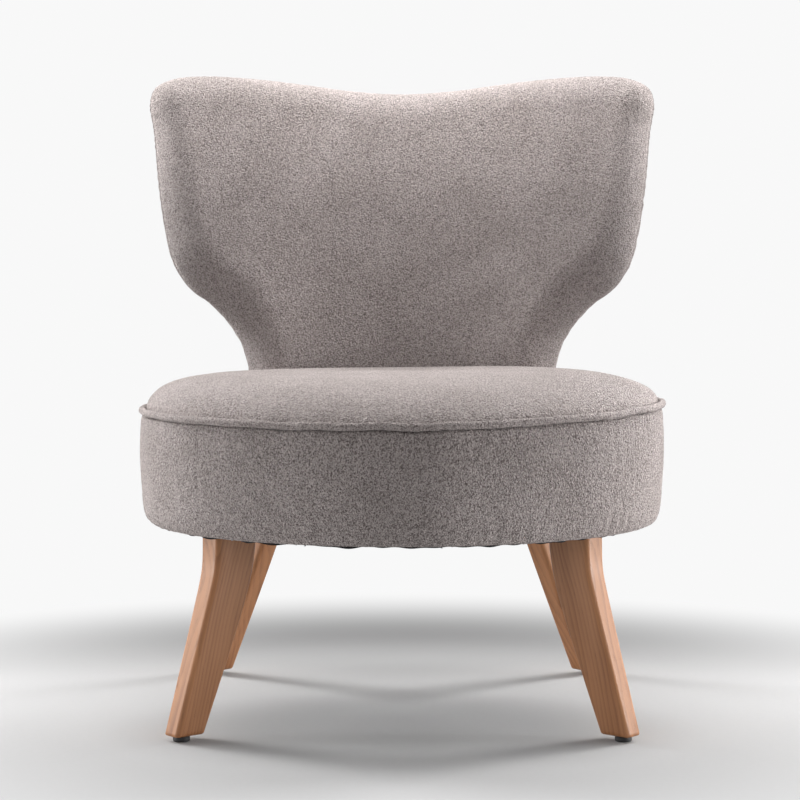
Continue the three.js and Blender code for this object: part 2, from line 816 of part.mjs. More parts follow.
function topRail(grow = 0, growDepth = 0) {
  const toShare = wingFromShare + grow / 2 / halfOutlineCurve().getLength();
  const right = insetPath(0, toShare, 6, boardInset);
  right[0][0] = 0;
  const left = right.slice(1).reverse().map(([x, z]) => [-x, z]);
  return backBoard([...left, ...right], backBoardWidth, frameFrontDepth, frameThickness, grow, growDepth);
}

function wingFrame(side) {
  const fromShare = wingFromShare + gap / halfOutlineCurve().getLength();
  const path = insetPath(fromShare, wingToShare, 14, boardInset).map(([x, z]) => [side * x, z]);
  return backBoard(path, backBoardWidth, frameFrontDepth, frameThickness);
}

// Bolts through a post into the rear rail, square to the post's front face
function postBolts(side) {
  return [0, 1].map((i) => {
    const height = undersideHeight + postBoltRise + i * postBoltPitch;
    const seat = backPoint(side * postOffset, height, frameFrontDepth - gap - postBoltSeatGap);
    const ahead = backPoint(side * postOffset, height, frameFrontDepth);
    const direction = ahead.clone().sub(seat).normalize();
    const turn = new THREE.Quaternion().setFromUnitVectors(new THREE.Vector3(0, 0, -1), direction);
    return { seat, turn };
  });
}

function postBoltHole({ seat, turn }) {
  const length = postBoltLength + gap + overrun;
  const hole = upright(holeRadius, length, boltSides, overrun - length, 0);
  return hole.applyQuaternion(turn).translate(seat.x, seat.y, seat.z);
}

const sides = { left: -1, right: 1 };
const quarterEdges = legPlaces().map((p) => p.angle);

function seatRails() {
  const [frontLeft, frontRight, rearLeft, rearRight] = quarterEdges;
  const holes = Object.values(sides).flatMap((side) => postBolts(side).map(postBoltHole));
  place("front_rail", rail(frontLeft, frontRight + 2 * Math.PI), frameWood);
  place("left_rail", rail(rearLeft, frontLeft), frameWood);
  place("right_rail", rail(frontRight, rearRight), frameWood);
  place("rear_rail", cut(rail(rearRight, rearLeft), ...holes), frameWood);
}

function backFrame() {
  const [, , rearLeft, rearRight] = quarterEdges;
  const railCutter = rail(rearRight, rearLeft, gap);
  for (const [name, side] of Object.entries(sides)) {
    const post = (grow, growDepth) =>
      backBoard(postPath(side), postWidth, frameFrontDepth, frameThickness, grow, growDepth);
    const holes = postBolts(side).map(postBoltHole);
    const railSlot = topRail(gap, overrun);
    place(`back_${name}_post`, cut(post(0, 0), railCutter, railSlot, ...holes), frameWood);
    place(`back_${name}_wing_frame`, cut(wingFrame(side), post(gap, overrun), railSlot), frameWood);
    postBolts(side).forEach(({ seat, turn }, i) => {
      const bolt = place(`back_${name}_post_bolt_${i + 1}`, boltGeometry(postBoltLength), steel);
      bolt.position.copy(seat);
      bolt.quaternion.copy(turn);
    });
  }
  place("back_top_rail", topRail(), frameWood);
  const reach = postOffset - postWidth / 2 - gap;
  const middle = neckFoot() + gap + lowerRailHeight / 2;
  const path = straightPath([-reach, middle], [reach, middle], 8);
  place("back_lower_rail", backBoard(path, lowerRailHeight, frameFrontDepth, frameThickness), frameWood);
  const strapShares = [0.3, 0.5, 0.7];
  strapShares.forEach((share, i) => {
    const height = THREE.MathUtils.lerp(neckFoot(), backTopHeight, share);
    const strapPath = straightPath([-backStrapReach, height], [backStrapReach, height], 10);
    const front = frameFrontDepth - gap - backStrapThickness;
    const strap = backBoard(strapPath, backStrapWidth, front, backStrapThickness);
    place(`back_strap_${i + 1}`, strap, webbing);
  });
}

const neckSlot = backEnvelope(slotGap);
place("seat_top_cover", seatTopCover(neckSlot), fabric);
place("seat_welt", seatWelt(), fabric);
place("seat_boxing", seatBoxing(), fabric);
place("seat_foam", seatFoam(neckSlot), foam);
place("seat_side_padding", seatSidePadding(), foam);
place("dust_cover", dustCover(), lining);
seatRails();
seatStraps();
legSets();
backFrame();
place("back_front_cover", backFrontCover(), fabric);
place("back_rear_cover", backRearCover(), fabric);
place("back_front_foam", backFrontFoam(), foam);
place("back_rear_padding", backRearPadding(), foam);

// The chair stands with the middle of its floor plan on the origin
const plan = new THREE.Box3().setFromObject(chair);
chair.position.y = -(plan.min.y + plan.max.y) / 2;

export default group;
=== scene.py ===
"""A slipper chair: a round upholstered seat, a winged back and four splayed wooden legs.

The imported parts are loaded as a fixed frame, and the finished surfaces are built over them in metres.
"""
import math

import bmesh
import bpy
import numpy as np
from bpy.props import FloatProperty, FloatVectorProperty, IntProperty, PointerProperty
from bpy.types import Operator, Panel, PropertyGroup
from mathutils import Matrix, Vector


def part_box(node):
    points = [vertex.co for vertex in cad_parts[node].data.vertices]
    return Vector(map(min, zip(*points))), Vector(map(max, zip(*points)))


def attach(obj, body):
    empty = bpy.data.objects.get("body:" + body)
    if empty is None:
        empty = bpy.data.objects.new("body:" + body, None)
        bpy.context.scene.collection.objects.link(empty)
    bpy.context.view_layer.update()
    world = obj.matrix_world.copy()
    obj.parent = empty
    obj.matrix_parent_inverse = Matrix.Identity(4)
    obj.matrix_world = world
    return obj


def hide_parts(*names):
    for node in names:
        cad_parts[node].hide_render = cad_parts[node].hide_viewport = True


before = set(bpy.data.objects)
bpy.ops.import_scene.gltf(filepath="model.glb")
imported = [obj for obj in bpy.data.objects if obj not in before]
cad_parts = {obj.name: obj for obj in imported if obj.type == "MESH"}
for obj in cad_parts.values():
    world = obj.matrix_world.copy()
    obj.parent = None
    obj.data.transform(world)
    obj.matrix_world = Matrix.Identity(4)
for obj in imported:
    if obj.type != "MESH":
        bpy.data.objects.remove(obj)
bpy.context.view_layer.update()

bl_info = {
    "name": "Slipper Chair",
    "version": (1, 0, 0),
    "blender": (4, 5, 0),
    "location": "View3D > Sidebar > Slipper Chair",
    "description": "Builds the upholstery, legs, underside and studio of a slipper chair",
    "category": "Add Mesh",
}

WELT_LOW, WELT_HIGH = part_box("seat_welt")
RAIL_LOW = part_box("front_rail")[0]
FOAM_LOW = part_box("seat_foam")[0]
AXIS_Y = (WELT_LOW.y + WELT_HIGH.y) / 2
WELD = 2e-6
SEAM_GAP = 0.0003
TURN = 2 * math.pi
WHITE = (1.0, 1.0, 1.0, 1.0)


def length(name, default, description):
    return FloatProperty(name=name, description=description, default=default, unit="LENGTH", precision=4)


def number(name, default, description, low=0.0, high=1000.0):
    return FloatProperty(name=name, description=description, default=default, min=low, max=high)


def colour(name, default, description):
    return FloatVectorProperty(
        name=name, description=description, default=default, subtype="COLOR", size=3, min=0.0, max=1.0
    )


class SeatSizes(PropertyGroup):
    """The drum: crowned panel, welt, band and the roll under it"""

    radius: length("Radius", (WELT_HIGH.x - WELT_LOW.x) / 2, "Over the welt")
    welt_thickness: length("Welt thickness", 0.009, "Diameter of the welt cord with its cover")
    welt_dip: length("Welt dip", 0.004, "How much lower the welt runs at the front")
    welt_tilt: length("Welt tilt", 0.0015, "How much higher the welt runs on the right than at the middle")
    right_lift: length("Right lift", 0.006, "How much the welt climbs further towards the right end")
    welt_wave: length("Welt wave", 0.0008, "How far the welt wanders up and down")
    crown_rise: length("Crown rise", 0.0455, "Middle of the panel over the welt")
    band_bulge: length("Band bulge", 0.0025, "Swell of the band between welt and roll")
    pucker: length("Pucker", 0.0009, "Depth of the gathers beside the seams")
    roll_rise: length("Roll rise", 0.038, "Where the band starts to turn under, over the frame's lower edge")
    roll_drop: length("Roll drop", 0.0035, "How far the roll hangs below the frame at the sides")
    front_roll_drop: length("Front roll drop", 0.003, "How far the roll hangs below the frame at the front")
    roll_inner_radius: length("Roll inner radius", 0.303, "Where the band lies flat under the frame")
    flange_inner_radius: length("Flange inner radius", 0.297, "Cut edge of the band under the frame")
    tuck: length("Tuck", 0.007, "How far the back draws the panel down round its neck")


class BackSizes(PropertyGroup):
    """The back's middle surface, its outline and its padding"""

    top_height: length("Top height", 0.819, "Floor to the top of the wings, along the seam")
    half_span: length("Half span", 0.3435, "Chair's middle to the tip of a wing")
    neck_setback: length("Neck setback", 0.240, "Drum axis to the middle of the back at seat level")
    neck_plan_radius: length("Neck plan radius", 0.380, "How tightly the neck curves round the sitter")
    wing_plan_radius: length("Wing plan radius", 0.680, "How tightly the top curves round the sitter")
    lean_start: length("Lean start", 0.360, "Height where the back starts to lean")
    lean_ease: length("Lean ease", 0.040, "Length over which the lean comes in")
    lean_slope: number("Lean slope", 0.2, "Setback for each unit of height")
    front_depth: length("Front depth", 0.030, "Middle surface to the front face at its corners")
    crown_up: length("Crown upwards", 0.012, "Extra swell of the front face at half height")
    crown_across: length("Crown across", 0.004, "Extra swell of the front face at the chair's middle")
    rear_depth: length("Rear depth", 0.036, "Middle surface to the rear face")
    seam_depth: length("Seam depth", 0.014, "Middle surface to the seam on the edge")
    front_top_round: length("Front top round", 0.048, "How far in from the top seam the front face is full")
    front_side_round: length("Front side round", 0.029, "The same in from the wings' outer edges")
    front_under_round: length("Front under round", 0.066, "The same in from an edge that faces down")
    front_fullness: number("Front fullness", 2.2, "How soon the front swells from its seam", 1.0, 10.0)
    rear_round: length("Rear edge round", 0.034, "How far in from the seam the rear face is full")
    rear_fullness: number("Rear fullness", 2.2, "How soon the rear swells from its seam", 1.0, 10.0)
    gather: length("Gather", 0.0003, "Depth of the gathers beside the seam")
    pocket_inset: length("Pocket inset", 0.018, "Edge padding between the outline and the frame's space")
    front_floor: length("Front floor", -0.0029, "Depth of the front pad's hidden face")
    rear_floor: length("Rear floor", 0.0251, "Depth of the rear pad's hidden face")
    seam_groove: length("Seam groove", 0.0012, "How deep the outside seam sinks")


class LegSizes(PropertyGroup):
    """The sawn legs and their glides"""

    spread_x: length("Spread X", 0.258, "Chair's middle to a glide, sideways")
    spread_y: length("Spread Y", 0.221, "Drum axis to a glide, lengthwise")
    top_thickness: length("Top thickness", 0.034, "Thickness at the seat")
    foot_thickness: length("Foot thickness", 0.028, "Thickness at the floor")
    foot_width: length("Foot width", 0.041, "Width at the floor")
    foot_setback: length("Foot setback", 0.004, "The foot's middle stands this far inside the glide's")
    edge_radius: length("Edge radius", 0.006, "Rounding of the long edges")
    front_top_width: length("Front top width", 0.0595, "Width of a front leg at the seat")
    front_top_inner: length("Front top inner", 0.2395, "Drum axis to a front leg's inner edge at the seat")
    front_bend_drop: length("Front bend drop", 0.040, "Seat to the bend of a front leg")
    front_outer_ease: length("Front outer ease", 0.014, "Softness of the outer bend")
    front_inner_ease: length("Front inner ease", 0.046, "Softness of the inner bend")
    rear_top_width: length("Rear top width", 0.058, "Width of a rear leg at the seat")
    rear_top_inner: length("Rear top inner", 0.217, "Drum axis to a rear leg's inner edge at the seat")
    rear_bend_drop: length("Rear bend drop", 0.022, "Seat to the bend of a rear leg")
    rear_outer_ease: length("Rear outer ease", 0.014, "Softness of the outer bend")
    rear_inner_ease: length("Rear inner ease", 0.018, "Softness of the inner bend")
    glide_height: length("Glide height", 0.007, "Height of the glide's disc")
    glide_diameter: length("Glide diameter", 0.020, "Width of the glide's disc")


class FabricLook(PropertyGroup):
    """The looped pile"""

    # The mix from hollow to tip colour paints shade into the hollows between the loops and light onto their
    # tops.
    tip: colour("Tip colour", (0.64, 0.567, 0.551), "Lit tops of the loops")
    shaded_hollow: colour("Hollow colour", (0.195, 0.159, 0.150), "Between the loops")
    loop_size: length("Loop size", 0.0020, "Width of one loop")
    loop_depth: length("Loop depth", 0.0063, "Full range of the bump between loops and hollows")
    lump_size: length("Lump size", 0.0065, "Width of the lumps that the pile makes")
    lump_depth: length("Lump depth", 0.00030, "Depth of the lumps")
    sheen: number("Sheen", 0.18, "Light caught by the fibre ends", 0.0, 1.0)


class WoodLook(PropertyGroup):
    """Stained open-grained legs"""

    light: colour("Light colour", (0.39, 0.168, 0.068), "Early wood")
    dark: colour("Dark colour", (0.215, 0.086, 0.034), "Late wood")
    pore: colour("Pore colour", (0.12, 0.052, 0.025), "Open pores")
    warm: colour("Warm colour", (0.47, 0.220, 0.098), "Warmer stretches along the grain")
    ring_spacing: length("Ring spacing", 0.0065, "Between growth rings")
    roughness: number("Roughness", 0.42, "Satin lacquer", 0.0, 1.0)


class StageLook(PropertyGroup):
    """Camera, lamps and floor"""

    camera_distance: length("Camera distance", 2.695, "Drum axis to the camera")
    camera_height: length("Camera height", 0.528, "Floor to the camera")
    camera_side: length("Camera side step", -0.0028, "Chair's middle to the camera, sideways")
    focal_pixels: number("Focal length in pixels", 2139.0, "For an image 800 pixels wide", 1.0, 20000.0)
    horizon_row: number("Horizon row", 288.1, "Pixel row of the horizon, from the top", 0.0, 800.0)
    overhead: number("Overhead watts", 15.5, "Large lamp above the chair", 0.0, 2000.0)
    side: number("Side watts", 58.0, "Each of the two side lamps", 0.0, 2000.0)
    low_side: number("Low side watts", 0.95, "Each of the two narrow lamps on the drum's sides", 0.0, 2000.0)
    fill: number("Fill", 0.455, "Level of light from all round", 0.0, 10.0)
    floor_colour: colour("Floor colour", (0.54, 0.54, 0.545), "Pale studio floor")
    seed: IntProperty(name="Seed", description="Start of every random draw", default=7, min=0)


class ChairSettings(PropertyGroup):
    """All settings of the chair"""

    seat: PointerProperty(type=SeatSizes)
    back: PointerProperty(type=BackSizes)
    legs: PointerProperty(type=LegSizes)
    fabric: PointerProperty(type=FabricLook)
    wood: PointerProperty(type=WoodLook)
    stage: PointerProperty(type=StageLook)


def settings():
    return bpy.context.scene.slipper_chair


# Node trees and their maths


class Socket:
    """A node's output that takes part in Python sums"""

    def __init__(self, nodes, output):
        self.nodes = nodes
        self.output = output

    def other(self, name):
        """Another output of the same node"""
        return Socket(self.nodes, self.output.node.outputs[name])

    def sum(self, operation, first, second=0.0):
        return self.nodes.node("ShaderNodeMath", {"operation": operation}, {0: first, 1: second})

    def __add__(self, other):
        return self.sum("ADD", self, other)

    def __radd__(self, other):
        return self.sum("ADD", other, self)

    def __sub__(self, other):
        return self.sum("SUBTRACT", self, other)

    def __rsub__(self, other):
        return self.sum("SUBTRACT", other, self)

    def __mul__(self, other):
        return self.sum("MULTIPLY", self, other)

    def __rmul__(self, other):
        return self.sum("MULTIPLY", other, self)

    def __truediv__(self, other):
        return self.sum("DIVIDE", self, other)

    def __rtruediv__(self, other):
        return self.sum("DIVIDE", other, self)

    def __pow__(self, other):
        return self.sum("POWER", self, other)

    def __abs__(self):
        return self.sum("ABSOLUTE", self)

    def clamp(self):
        return self.nodes.node("ShaderNodeClamp", {}, {0: self})

    def steps(self, low, high):
        """0 below low, 1 above high, smooth between"""
        options = {"interpolation_type": "SMOOTHSTEP"}
        return self.nodes.node("ShaderNodeMapRange", options, {0: self, 1: low, 2: high})


class Nodes:
    """A node tree, emptied first, and the one method that adds a node to it"""

    def __init__(self, tree):
        self.tree = tree
        tree.nodes.clear()

    def node(self, kind, options=None, sockets=None, output=0):
        """Adds a node, sets its options, sets or links its inputs and gives one of its outputs"""
        made = self.tree.nodes.new(kind)
        for key, value in (options or {}).items():
            setattr(made, key, value)
        for key, value in (sockets or {}).items():
            if isinstance(value, Socket):
                self.tree.links.new(value.output, made.inputs[key])
            else:
                made.inputs[key].default_value = value
        return Socket(self, made.outputs[output]) if made.outputs else None

    def backdrop_seen(self):
        """1 for rays that show the backdrop: the camera's own, and those mirrored or passed on to it"""
        ray = self.node("ShaderNodeLightPath", {}, {}, "Is Camera Ray")
        return (ray + ray.other("Is Glossy Ray") + ray.other("Is Transmission Ray")).clamp()


class Shader(Nodes):
    """A material and its node tree"""

    def __init__(self, name):
        self.material = bpy.data.materials.new(name)
        self.material.use_nodes = True
        super().__init__(self.material.node_tree)

    def place(self):
        """The place on the piece in metres"""
        return self.node("ShaderNodeTexCoord", {}, {}, "Object")

    def attribute(self, name):
        return self.node("ShaderNodeAttribute", {"attribute_name": name}, {}, "Vector")

    def stretched(self, vector, scale):
        return self.node("ShaderNodeVectorMath", {"operation": "MULTIPLY"}, {0: vector, 1: scale})

    def part(self, vector, axis):
        """One of a vector's parts, named X, Y or Z"""
        return self.node("ShaderNodeSeparateXYZ", {}, {0: vector}, axis)

    def noise(self, vector, scale, detail=2.0, roughness=0.5, distortion=0.0):
        sockets = {
            "Vector": vector,
            "Scale": scale,
            "Detail": detail,
            "Roughness": roughness,
            "Distortion": distortion,
        }
        return self.node("ShaderNodeTexNoise", {}, sockets)

    def cells(self, vector, scale, randomness=1.0):
        """The distance to the nearest of many scattered middles, softened between them"""
        options = {"feature": "SMOOTH_F1"}
        sockets = {"Vector": vector, "Scale": scale, "Randomness": randomness, "Smoothness": 0.6}
        return self.node("ShaderNodeTexVoronoi", options, sockets)

    def mix(self, factor, low, high, blend="MIX"):
        options = {"data_type": "RGBA", "blend_type": blend, "clamp_factor": True}
        return self.node("ShaderNodeMix", options, {0: factor, 6: opaque(low), 7: opaque(high)}, 2)

    def bump(self, height, distance, strength):
        return self.node("ShaderNodeBump", {}, {"Height": height, "Distance": distance, "Strength": strength})

    def finish(self, colour_in, roughness, bump, metallic=0.0, sheen=0.0, specular=0.5):
        sockets = {
            "Base Color": opaque(colour_in),
            "Roughness": roughness,
            "Metallic": metallic,
            "Sheen Weight": sheen,
            "Specular IOR Level": specular,
            "Normal": bump,
        }
        surface = self.node("ShaderNodeBsdfPrincipled", {}, sockets)
        self.node("ShaderNodeOutputMaterial", {}, {"Surface": surface})
        return self.material


def opaque(value):
    return value if isinstance(value, Socket) else (*value, 1.0)


# Painted light and shade on the inside back: darker at its foot, lighter from half height and at its top,
# darker at its sides.
PAINTED_FOOT_SHADE_LEVEL = 0.87
PAINTED_MIDDLE_LIGHT, PAINTED_MIDDLE_LIGHT_SPAN = 0.12, (0.40, 0.62)
PAINTED_TOP_LIGHT, PAINTED_TOP_LIGHT_SPAN = 0.38, (0.60, 0.79)
PAINTED_SIDE_SHADE, PAINTED_SIDE_SHADE_SPAN = 0.14, (0.13, 0.26)


def fabric_material(name, grain=(1.0, 1.0, 1.0), relief_share=1.0, painted_back_light=False):
    """Pale curled loops over hollows darkened by painted shade, with soft patches where the pile lies
    differently.

    On the inside back, painted light makes it paler towards its top, and painted shade makes it darker
    towards its foot and its sides.
    """
    look = settings().fabric
    shader = Shader(name)
    place = shader.stretched(shader.place(), grain)
    fine = 1.0 / look.loop_size
    curl = shader.noise(place, fine * 0.95, detail=1.2, distortion=0.55)
    ridge = 1.0 - abs(curl * 2.0 - 1.0) * 3.4
    pit = shader.cells(place, fine * 1.25)
    loops = (ridge.clamp() * 0.55 + (1.0 - pit * 1.3).clamp() * 0.55).clamp()
    flattened = shader.stretched(place, (0.95, 0.95, 1.2))
    lay = shader.noise(flattened, fine * 0.92, detail=1.4, roughness=0.6, distortion=0.4)
    height = lay * 0.92 + loops * 0.08
    patch = shader.noise(shader.place(), 14.0, detail=3.0, roughness=0.55, distortion=0.2)
    # Painted shade in the hollows between the loops, painted light on their tops.
    tone = shader.mix(loops.steps(0.08, 0.82), tuple(look.shaded_hollow), tuple(look.tip))
    worn = shader.mix(patch.steps(0.3, 0.72), (0.93, 0.925, 0.92), (1.04, 1.04, 1.045))
    base = shader.mix(1.0, tone, worn, "MULTIPLY")
    # Painted light and shade: lighter towards the top, darker towards the foot and the sides.
    if painted_back_light:
        across, up = shader.part(shader.place(), "X"), shader.part(shader.place(), "Z")
        height_light_paint = PAINTED_FOOT_SHADE_LEVEL + up.steps(*PAINTED_MIDDLE_LIGHT_SPAN) * PAINTED_MIDDLE_LIGHT + up.steps(*PAINTED_TOP_LIGHT_SPAN) * PAINTED_TOP_LIGHT
        side_shade_paint = 1.0 - abs(across).steps(*PAINTED_SIDE_SHADE_SPAN) * PAINTED_SIDE_SHADE
        base = shader.mix(1.0, base, height_light_paint * side_shade_paint, "MULTIPLY")
    relief = shader.bump(height, look.loop_depth * relief_share, strength=1.0)
    return shader.finish(base, 0.95, relief, sheen=look.sheen, specular=0.12)


def leg_wood_material():
    """Growth rings, fine pores and a lengthwise fleck, all along the leg's own grain"""
    look = settings().wood
    shader = Shader("stained_leg_wood")
    grain = shader.attribute("grain")
    slow = shader.stretched(grain, (9.0, 9.0, 2.2))
    wander = shader.noise(slow, 1.0, detail=3.0, roughness=0.55, distortion=0.3)
    across, deep = shader.part(grain, "X"), shader.part(grain, "Y")
    rings = (across + deep * 0.55 + wander * 0.055) / look.ring_spacing
    cycle = shader.node("ShaderNodeMath", {"operation": "FRACT"}, {0: rings})
    late = cycle.steps(0.25, 0.93) * (1.0 - cycle.steps(0.93, 1.0))
    streak = shader.noise(shader.stretched(grain, (420.0, 420.0, 7.0)), 1.0, detail=3.0, roughness=0.6)
    pores = shader.noise(shader.stretched(grain, (1500.0, 1500.0, 55.0)), 1.0, roughness=0.55)
    fleck = shader.noise(shader.stretched(grain, (60.0, 60.0, 6.0)), 1.0)
    tone = shader.mix(late * 0.55 + streak.steps(0.3, 0.75) * 0.35, tuple(look.light), tuple(look.dark))
    warmed = shader.mix(fleck.steps(0.3, 0.7) * 0.5, tone, tuple(look.warm))
    pitted = pores.steps(0.60, 0.74) * (0.35 + late * 0.65)
    base = shader.mix(pitted * 0.75, warmed, tuple(look.pore))
    relief = shader.bump(1.0 - pitted * 0.8 - streak * 0.15, distance=0.0003, strength=0.6)
    return shader.finish(base, look.roughness + pitted * 0.2, relief, specular=0.4)


def frame_wood_material():
    """Rough plain wood with the saw's marks"""
    shader = Shader("sawn_frame_wood")
    place = shader.place()
    along = shader.stretched(place, (40.0, 40.0, 6.0))
    streak = shader.noise(along, 1.0, detail=4.0, roughness=0.6, distortion=0.4)
    saw = shader.noise(shader.stretched(place, (30.0, 30.0, 600.0)), 1.0, detail=1.0)
    base = shader.mix(streak.steps(0.25, 0.8), (0.66, 0.48, 0.29), (0.45, 0.30, 0.17))
    relief = shader.bump(streak * 0.6 + saw * 0.4, distance=0.0004, strength=0.6)
    return shader.finish(base, 0.8, relief, specular=0.3)


def webbing_material():
    """Black webbing with slanting yarns"""
    shader = Shader("woven_webbing")
    sockets = {"Vector": shader.place(), "Scale": 260.0}
    yarn = shader.node("ShaderNodeTexWave", {"bands_direction": "DIAGONAL"}, sockets)
    base = shader.mix(yarn.steps(0.2, 0.9), (0.03, 0.03, 0.032), (0.11, 0.11, 0.115))
    return shader.finish(base, 0.85, shader.bump(yarn, distance=0.0004, strength=0.6), specular=0.3)


def dust_cloth_material():
    """Black spun-bonded cloth with its grid of pressed dots"""
    shader = Shader("black_dust_cloth")
    place = shader.place()
    dots = shader.cells(place, 620.0, 0.15)
    crease = shader.noise(place, 26.0, detail=3.0, roughness=0.6, distortion=0.8)
    base = shader.mix(dots.steps(0.1, 0.6), (0.008, 0.008, 0.009), (0.022, 0.022, 0.024))
    relief = shader.bump(dots * 0.25 + crease * 2.0, distance=0.0008, strength=0.6)
    return shader.finish(base, 0.9, relief, specular=0.25)


def steel_material(name, tint, roughness):
    """Steel with fine scratches that run one way"""
    shader = Shader(name)
    drawn = shader.stretched(shader.place(), (900.0, 120.0, 900.0))
    scratch = shader.noise(drawn, 1.0, detail=3.0, roughness=0.6)
    base = shader.mix(scratch.steps(0.3, 0.7), tint, tuple(0.8 * c for c in tint))
    relief = shader.bump(scratch, distance=0.00005, strength=0.4)
    return shader.finish(base, roughness + scratch * 0.12, relief, metallic=1.0)


def glide_material():
    """Black plastic, greyer where it is scuffed"""
    shader = Shader("black_glide_plastic")
    scuff = shader.noise(shader.place(), 900.0, detail=3.0, roughness=0.6)
    base = shader.mix(scuff.steps(0.5, 0.8), (0.012, 0.012, 0.013), (0.045, 0.045, 0.047))
    return shader.finish(base, 0.45 + scuff * 0.25, shader.bump(scuff, distance=0.00012, strength=0.5))


# Meshes from arrays


def add_object(name, data):
    """A new object in the scene, at the origin"""
    made = bpy.data.objects.new(name, data)
    bpy.context.scene.collection.objects.link(made)
    return made


def discard(piece):
    """Takes a helper and its mesh out of the file"""
    data = piece.data
    bpy.data.objects.remove(piece)
    bpy.data.meshes.remove(data)


def smooth_faces(piece):
    for polygon in piece.data.polygons:
        polygon.use_smooth = True


def mesh_piece(name, points, faces, material, grain=None):
    """A smooth closed mesh object whose doubled vertices are merged and whose faces point out"""
    mesh = bpy.data.meshes.new(name)
    corners = [[int(i) for i in face] for face in faces]
    mesh.from_pydata(np.asarray(points, float).tolist(), [], corners)
    if grain is not None:
        layer = mesh.attributes.new("grain", "FLOAT_VECTOR", "POINT")
        layer.data.foreach_set("vector", np.asarray(grain, np.float32).ravel())
    work = bmesh.new()
    work.from_mesh(mesh)
    bmesh.ops.remove_doubles(work, verts=work.verts, dist=WELD)
    bmesh.ops.dissolve_degenerate(work, edges=work.edges, dist=WELD)
    bmesh.ops.recalc_face_normals(work, faces=work.faces)
    if work.calc_volume(signed=True) < 0:
        bmesh.ops.reverse_faces(work, faces=work.faces)
    for face in work.faces:
        face.smooth = True
    work.to_mesh(mesh)
    work.free()
    mesh.materials.append(material)
    return add_object(name, mesh)


def ring_faces(ring_count, side_count, loop=False, start=0):
    """Quads between rings that follow each other; with loop the last joins the first"""
    bands = ring_count if loop else ring_count - 1
    here = (np.arange(bands) * side_count)[:, None]
    after = ((np.arange(bands) + 1) % ring_count * side_count)[:, None]
    i = np.arange(side_count)[None, :]
    j = (i + 1) % side_count
    quads = np.stack([here + i, here + j, after + j, after + i], axis=-1)
    return quads.reshape(-1, 4) + start


def apply_modifiers(piece):
    """Bakes the evaluated shape into a plain mesh and removes the modifiers"""
    bpy.context.view_layer.update()
    graph = bpy.context.evaluated_depsgraph_get()
    baked = bpy.data.meshes.new_from_object(piece.evaluated_get(graph))
    old = piece.data
    piece.modifiers.clear()
    piece.data = baked
    baked.name = piece.name
    bpy.data.meshes.remove(old)


def cut_away(piece, cutter):
    """Takes the cutter's form out of a piece, and the cutter out of the file"""
    modifier = piece.modifiers.new("cut", "BOOLEAN")
    modifier.operation = "DIFFERENCE"
    modifier.solver = "MANIFOLD"
    modifier.object = cutter
    apply_modifiers(piece)
    discard(cutter)
    smooth_faces(piece)


def draws(offset):
    """Random draws that are the same each time for the same offset"""
    return np.random.default_rng(settings().stage.seed + offset)


def ripple(turn, low, high, count, seed):
    """A sum of sines round a full turn, with wave counts from low to high, about 1 at most"""
    random = draws(seed)
    waves = random.integers(low, high, count)
    phases = random.uniform(0, TURN, count)
    total = sum(np.sin(turn * k + p) for k, p in zip(waves, phases))
    return total / math.sqrt(count)


def fading(distance, reach, power=1):
    """1 at no distance, falling towards 0 past the reach"""
    return np.exp(-((distance / reach) ** power))


def eased_share(share):
    """A share from 0 to 1 that sets off and arrives softly"""
    return share * share * (3 - 2 * share)


# Geometry Nodes trees


class GeometryTree(Nodes):
    """A Geometry Nodes tree with named inputs"""

    def __init__(self, name):
        super().__init__(bpy.data.node_groups.new(name, "GeometryNodeTree"))
        for way in ("INPUT", "OUTPUT"):
            self.tree.interface.new_socket("Geometry", in_out=way, socket_type="NodeSocketGeometry")
        self.entry = self.tree.nodes.new("NodeGroupInput")
        self.exit = self.tree.nodes.new("NodeGroupOutput")

    def entering(self, name):
        return Socket(self, self.entry.outputs[name])

    def input(self, name, kind):
        self.tree.interface.new_socket(name, in_out="INPUT", socket_type=kind)
        return self.entering(name)

    def close(self, geometry, material):
        """Ends the tree in Realize Instances and Set Material"""
        real = self.node("GeometryNodeRealizeInstances", {}, {0: geometry})
        dressed = self.node("GeometryNodeSetMaterial", {}, {"Geometry": real, "Material": material})
        self.tree.links.new(dressed.output, self.exit.inputs[0])
        return self

    def identifier(self, name):
        """The name that a modifier knows an input by"""
        for item in self.tree.interface.items_tree:
            if item.item_type == "SOCKET" and item.in_out == "INPUT" and item.name == name:
                return item.identifier
        raise KeyError(name)


def run_tree(piece, tree, values):
    """Sets a tree's inputs by identifier, bakes it and removes the modifier"""
    modifier = piece.modifiers.new(tree.tree.name, "NODES")
    modifier.node_group = tree.tree
    for name, value in values.items():
        modifier[tree.identifier(name)] = value
    apply_modifiers(piece)


NOISE_MIDDLE = 0.5
NOISE_STRETCH = 2.4


def pile_tree():
    """Lifts and sinks a fine surface as looped pile does"""
    tree = GeometryTree("Looped pile")
    geometry = tree.entering("Geometry")
    size = tree.input("Lump Size", "NodeSocketFloat")
    depth = tree.input("Lump Depth", "NodeSocketFloat")
    shift = tree.input("Seed", "NodeSocketFloat")
    material = tree.input("Material", "NodeSocketMaterial")
    sockets = {
        "Vector": tree.node("GeometryNodeInputPosition"),
        "W": shift,
        "Scale": 1.0 / size,
        "Detail": 1.5,
        "Roughness": 0.6,
        "Distortion": 0.4,
    }
    lumps = tree.node("ShaderNodeTexNoise", {"noise_dimensions": "4D"}, sockets)
    lift = (lumps - NOISE_MIDDLE) * NOISE_STRETCH * depth
    normal = tree.node("GeometryNodeInputNormal")
    offset = tree.node("ShaderNodeVectorMath", {"operation": "SCALE"}, {0: normal, "Scale": lift})
    moved = tree.node("GeometryNodeSetPosition", {}, {"Geometry": geometry, "Offset": offset})
    return tree.close(moved, material)


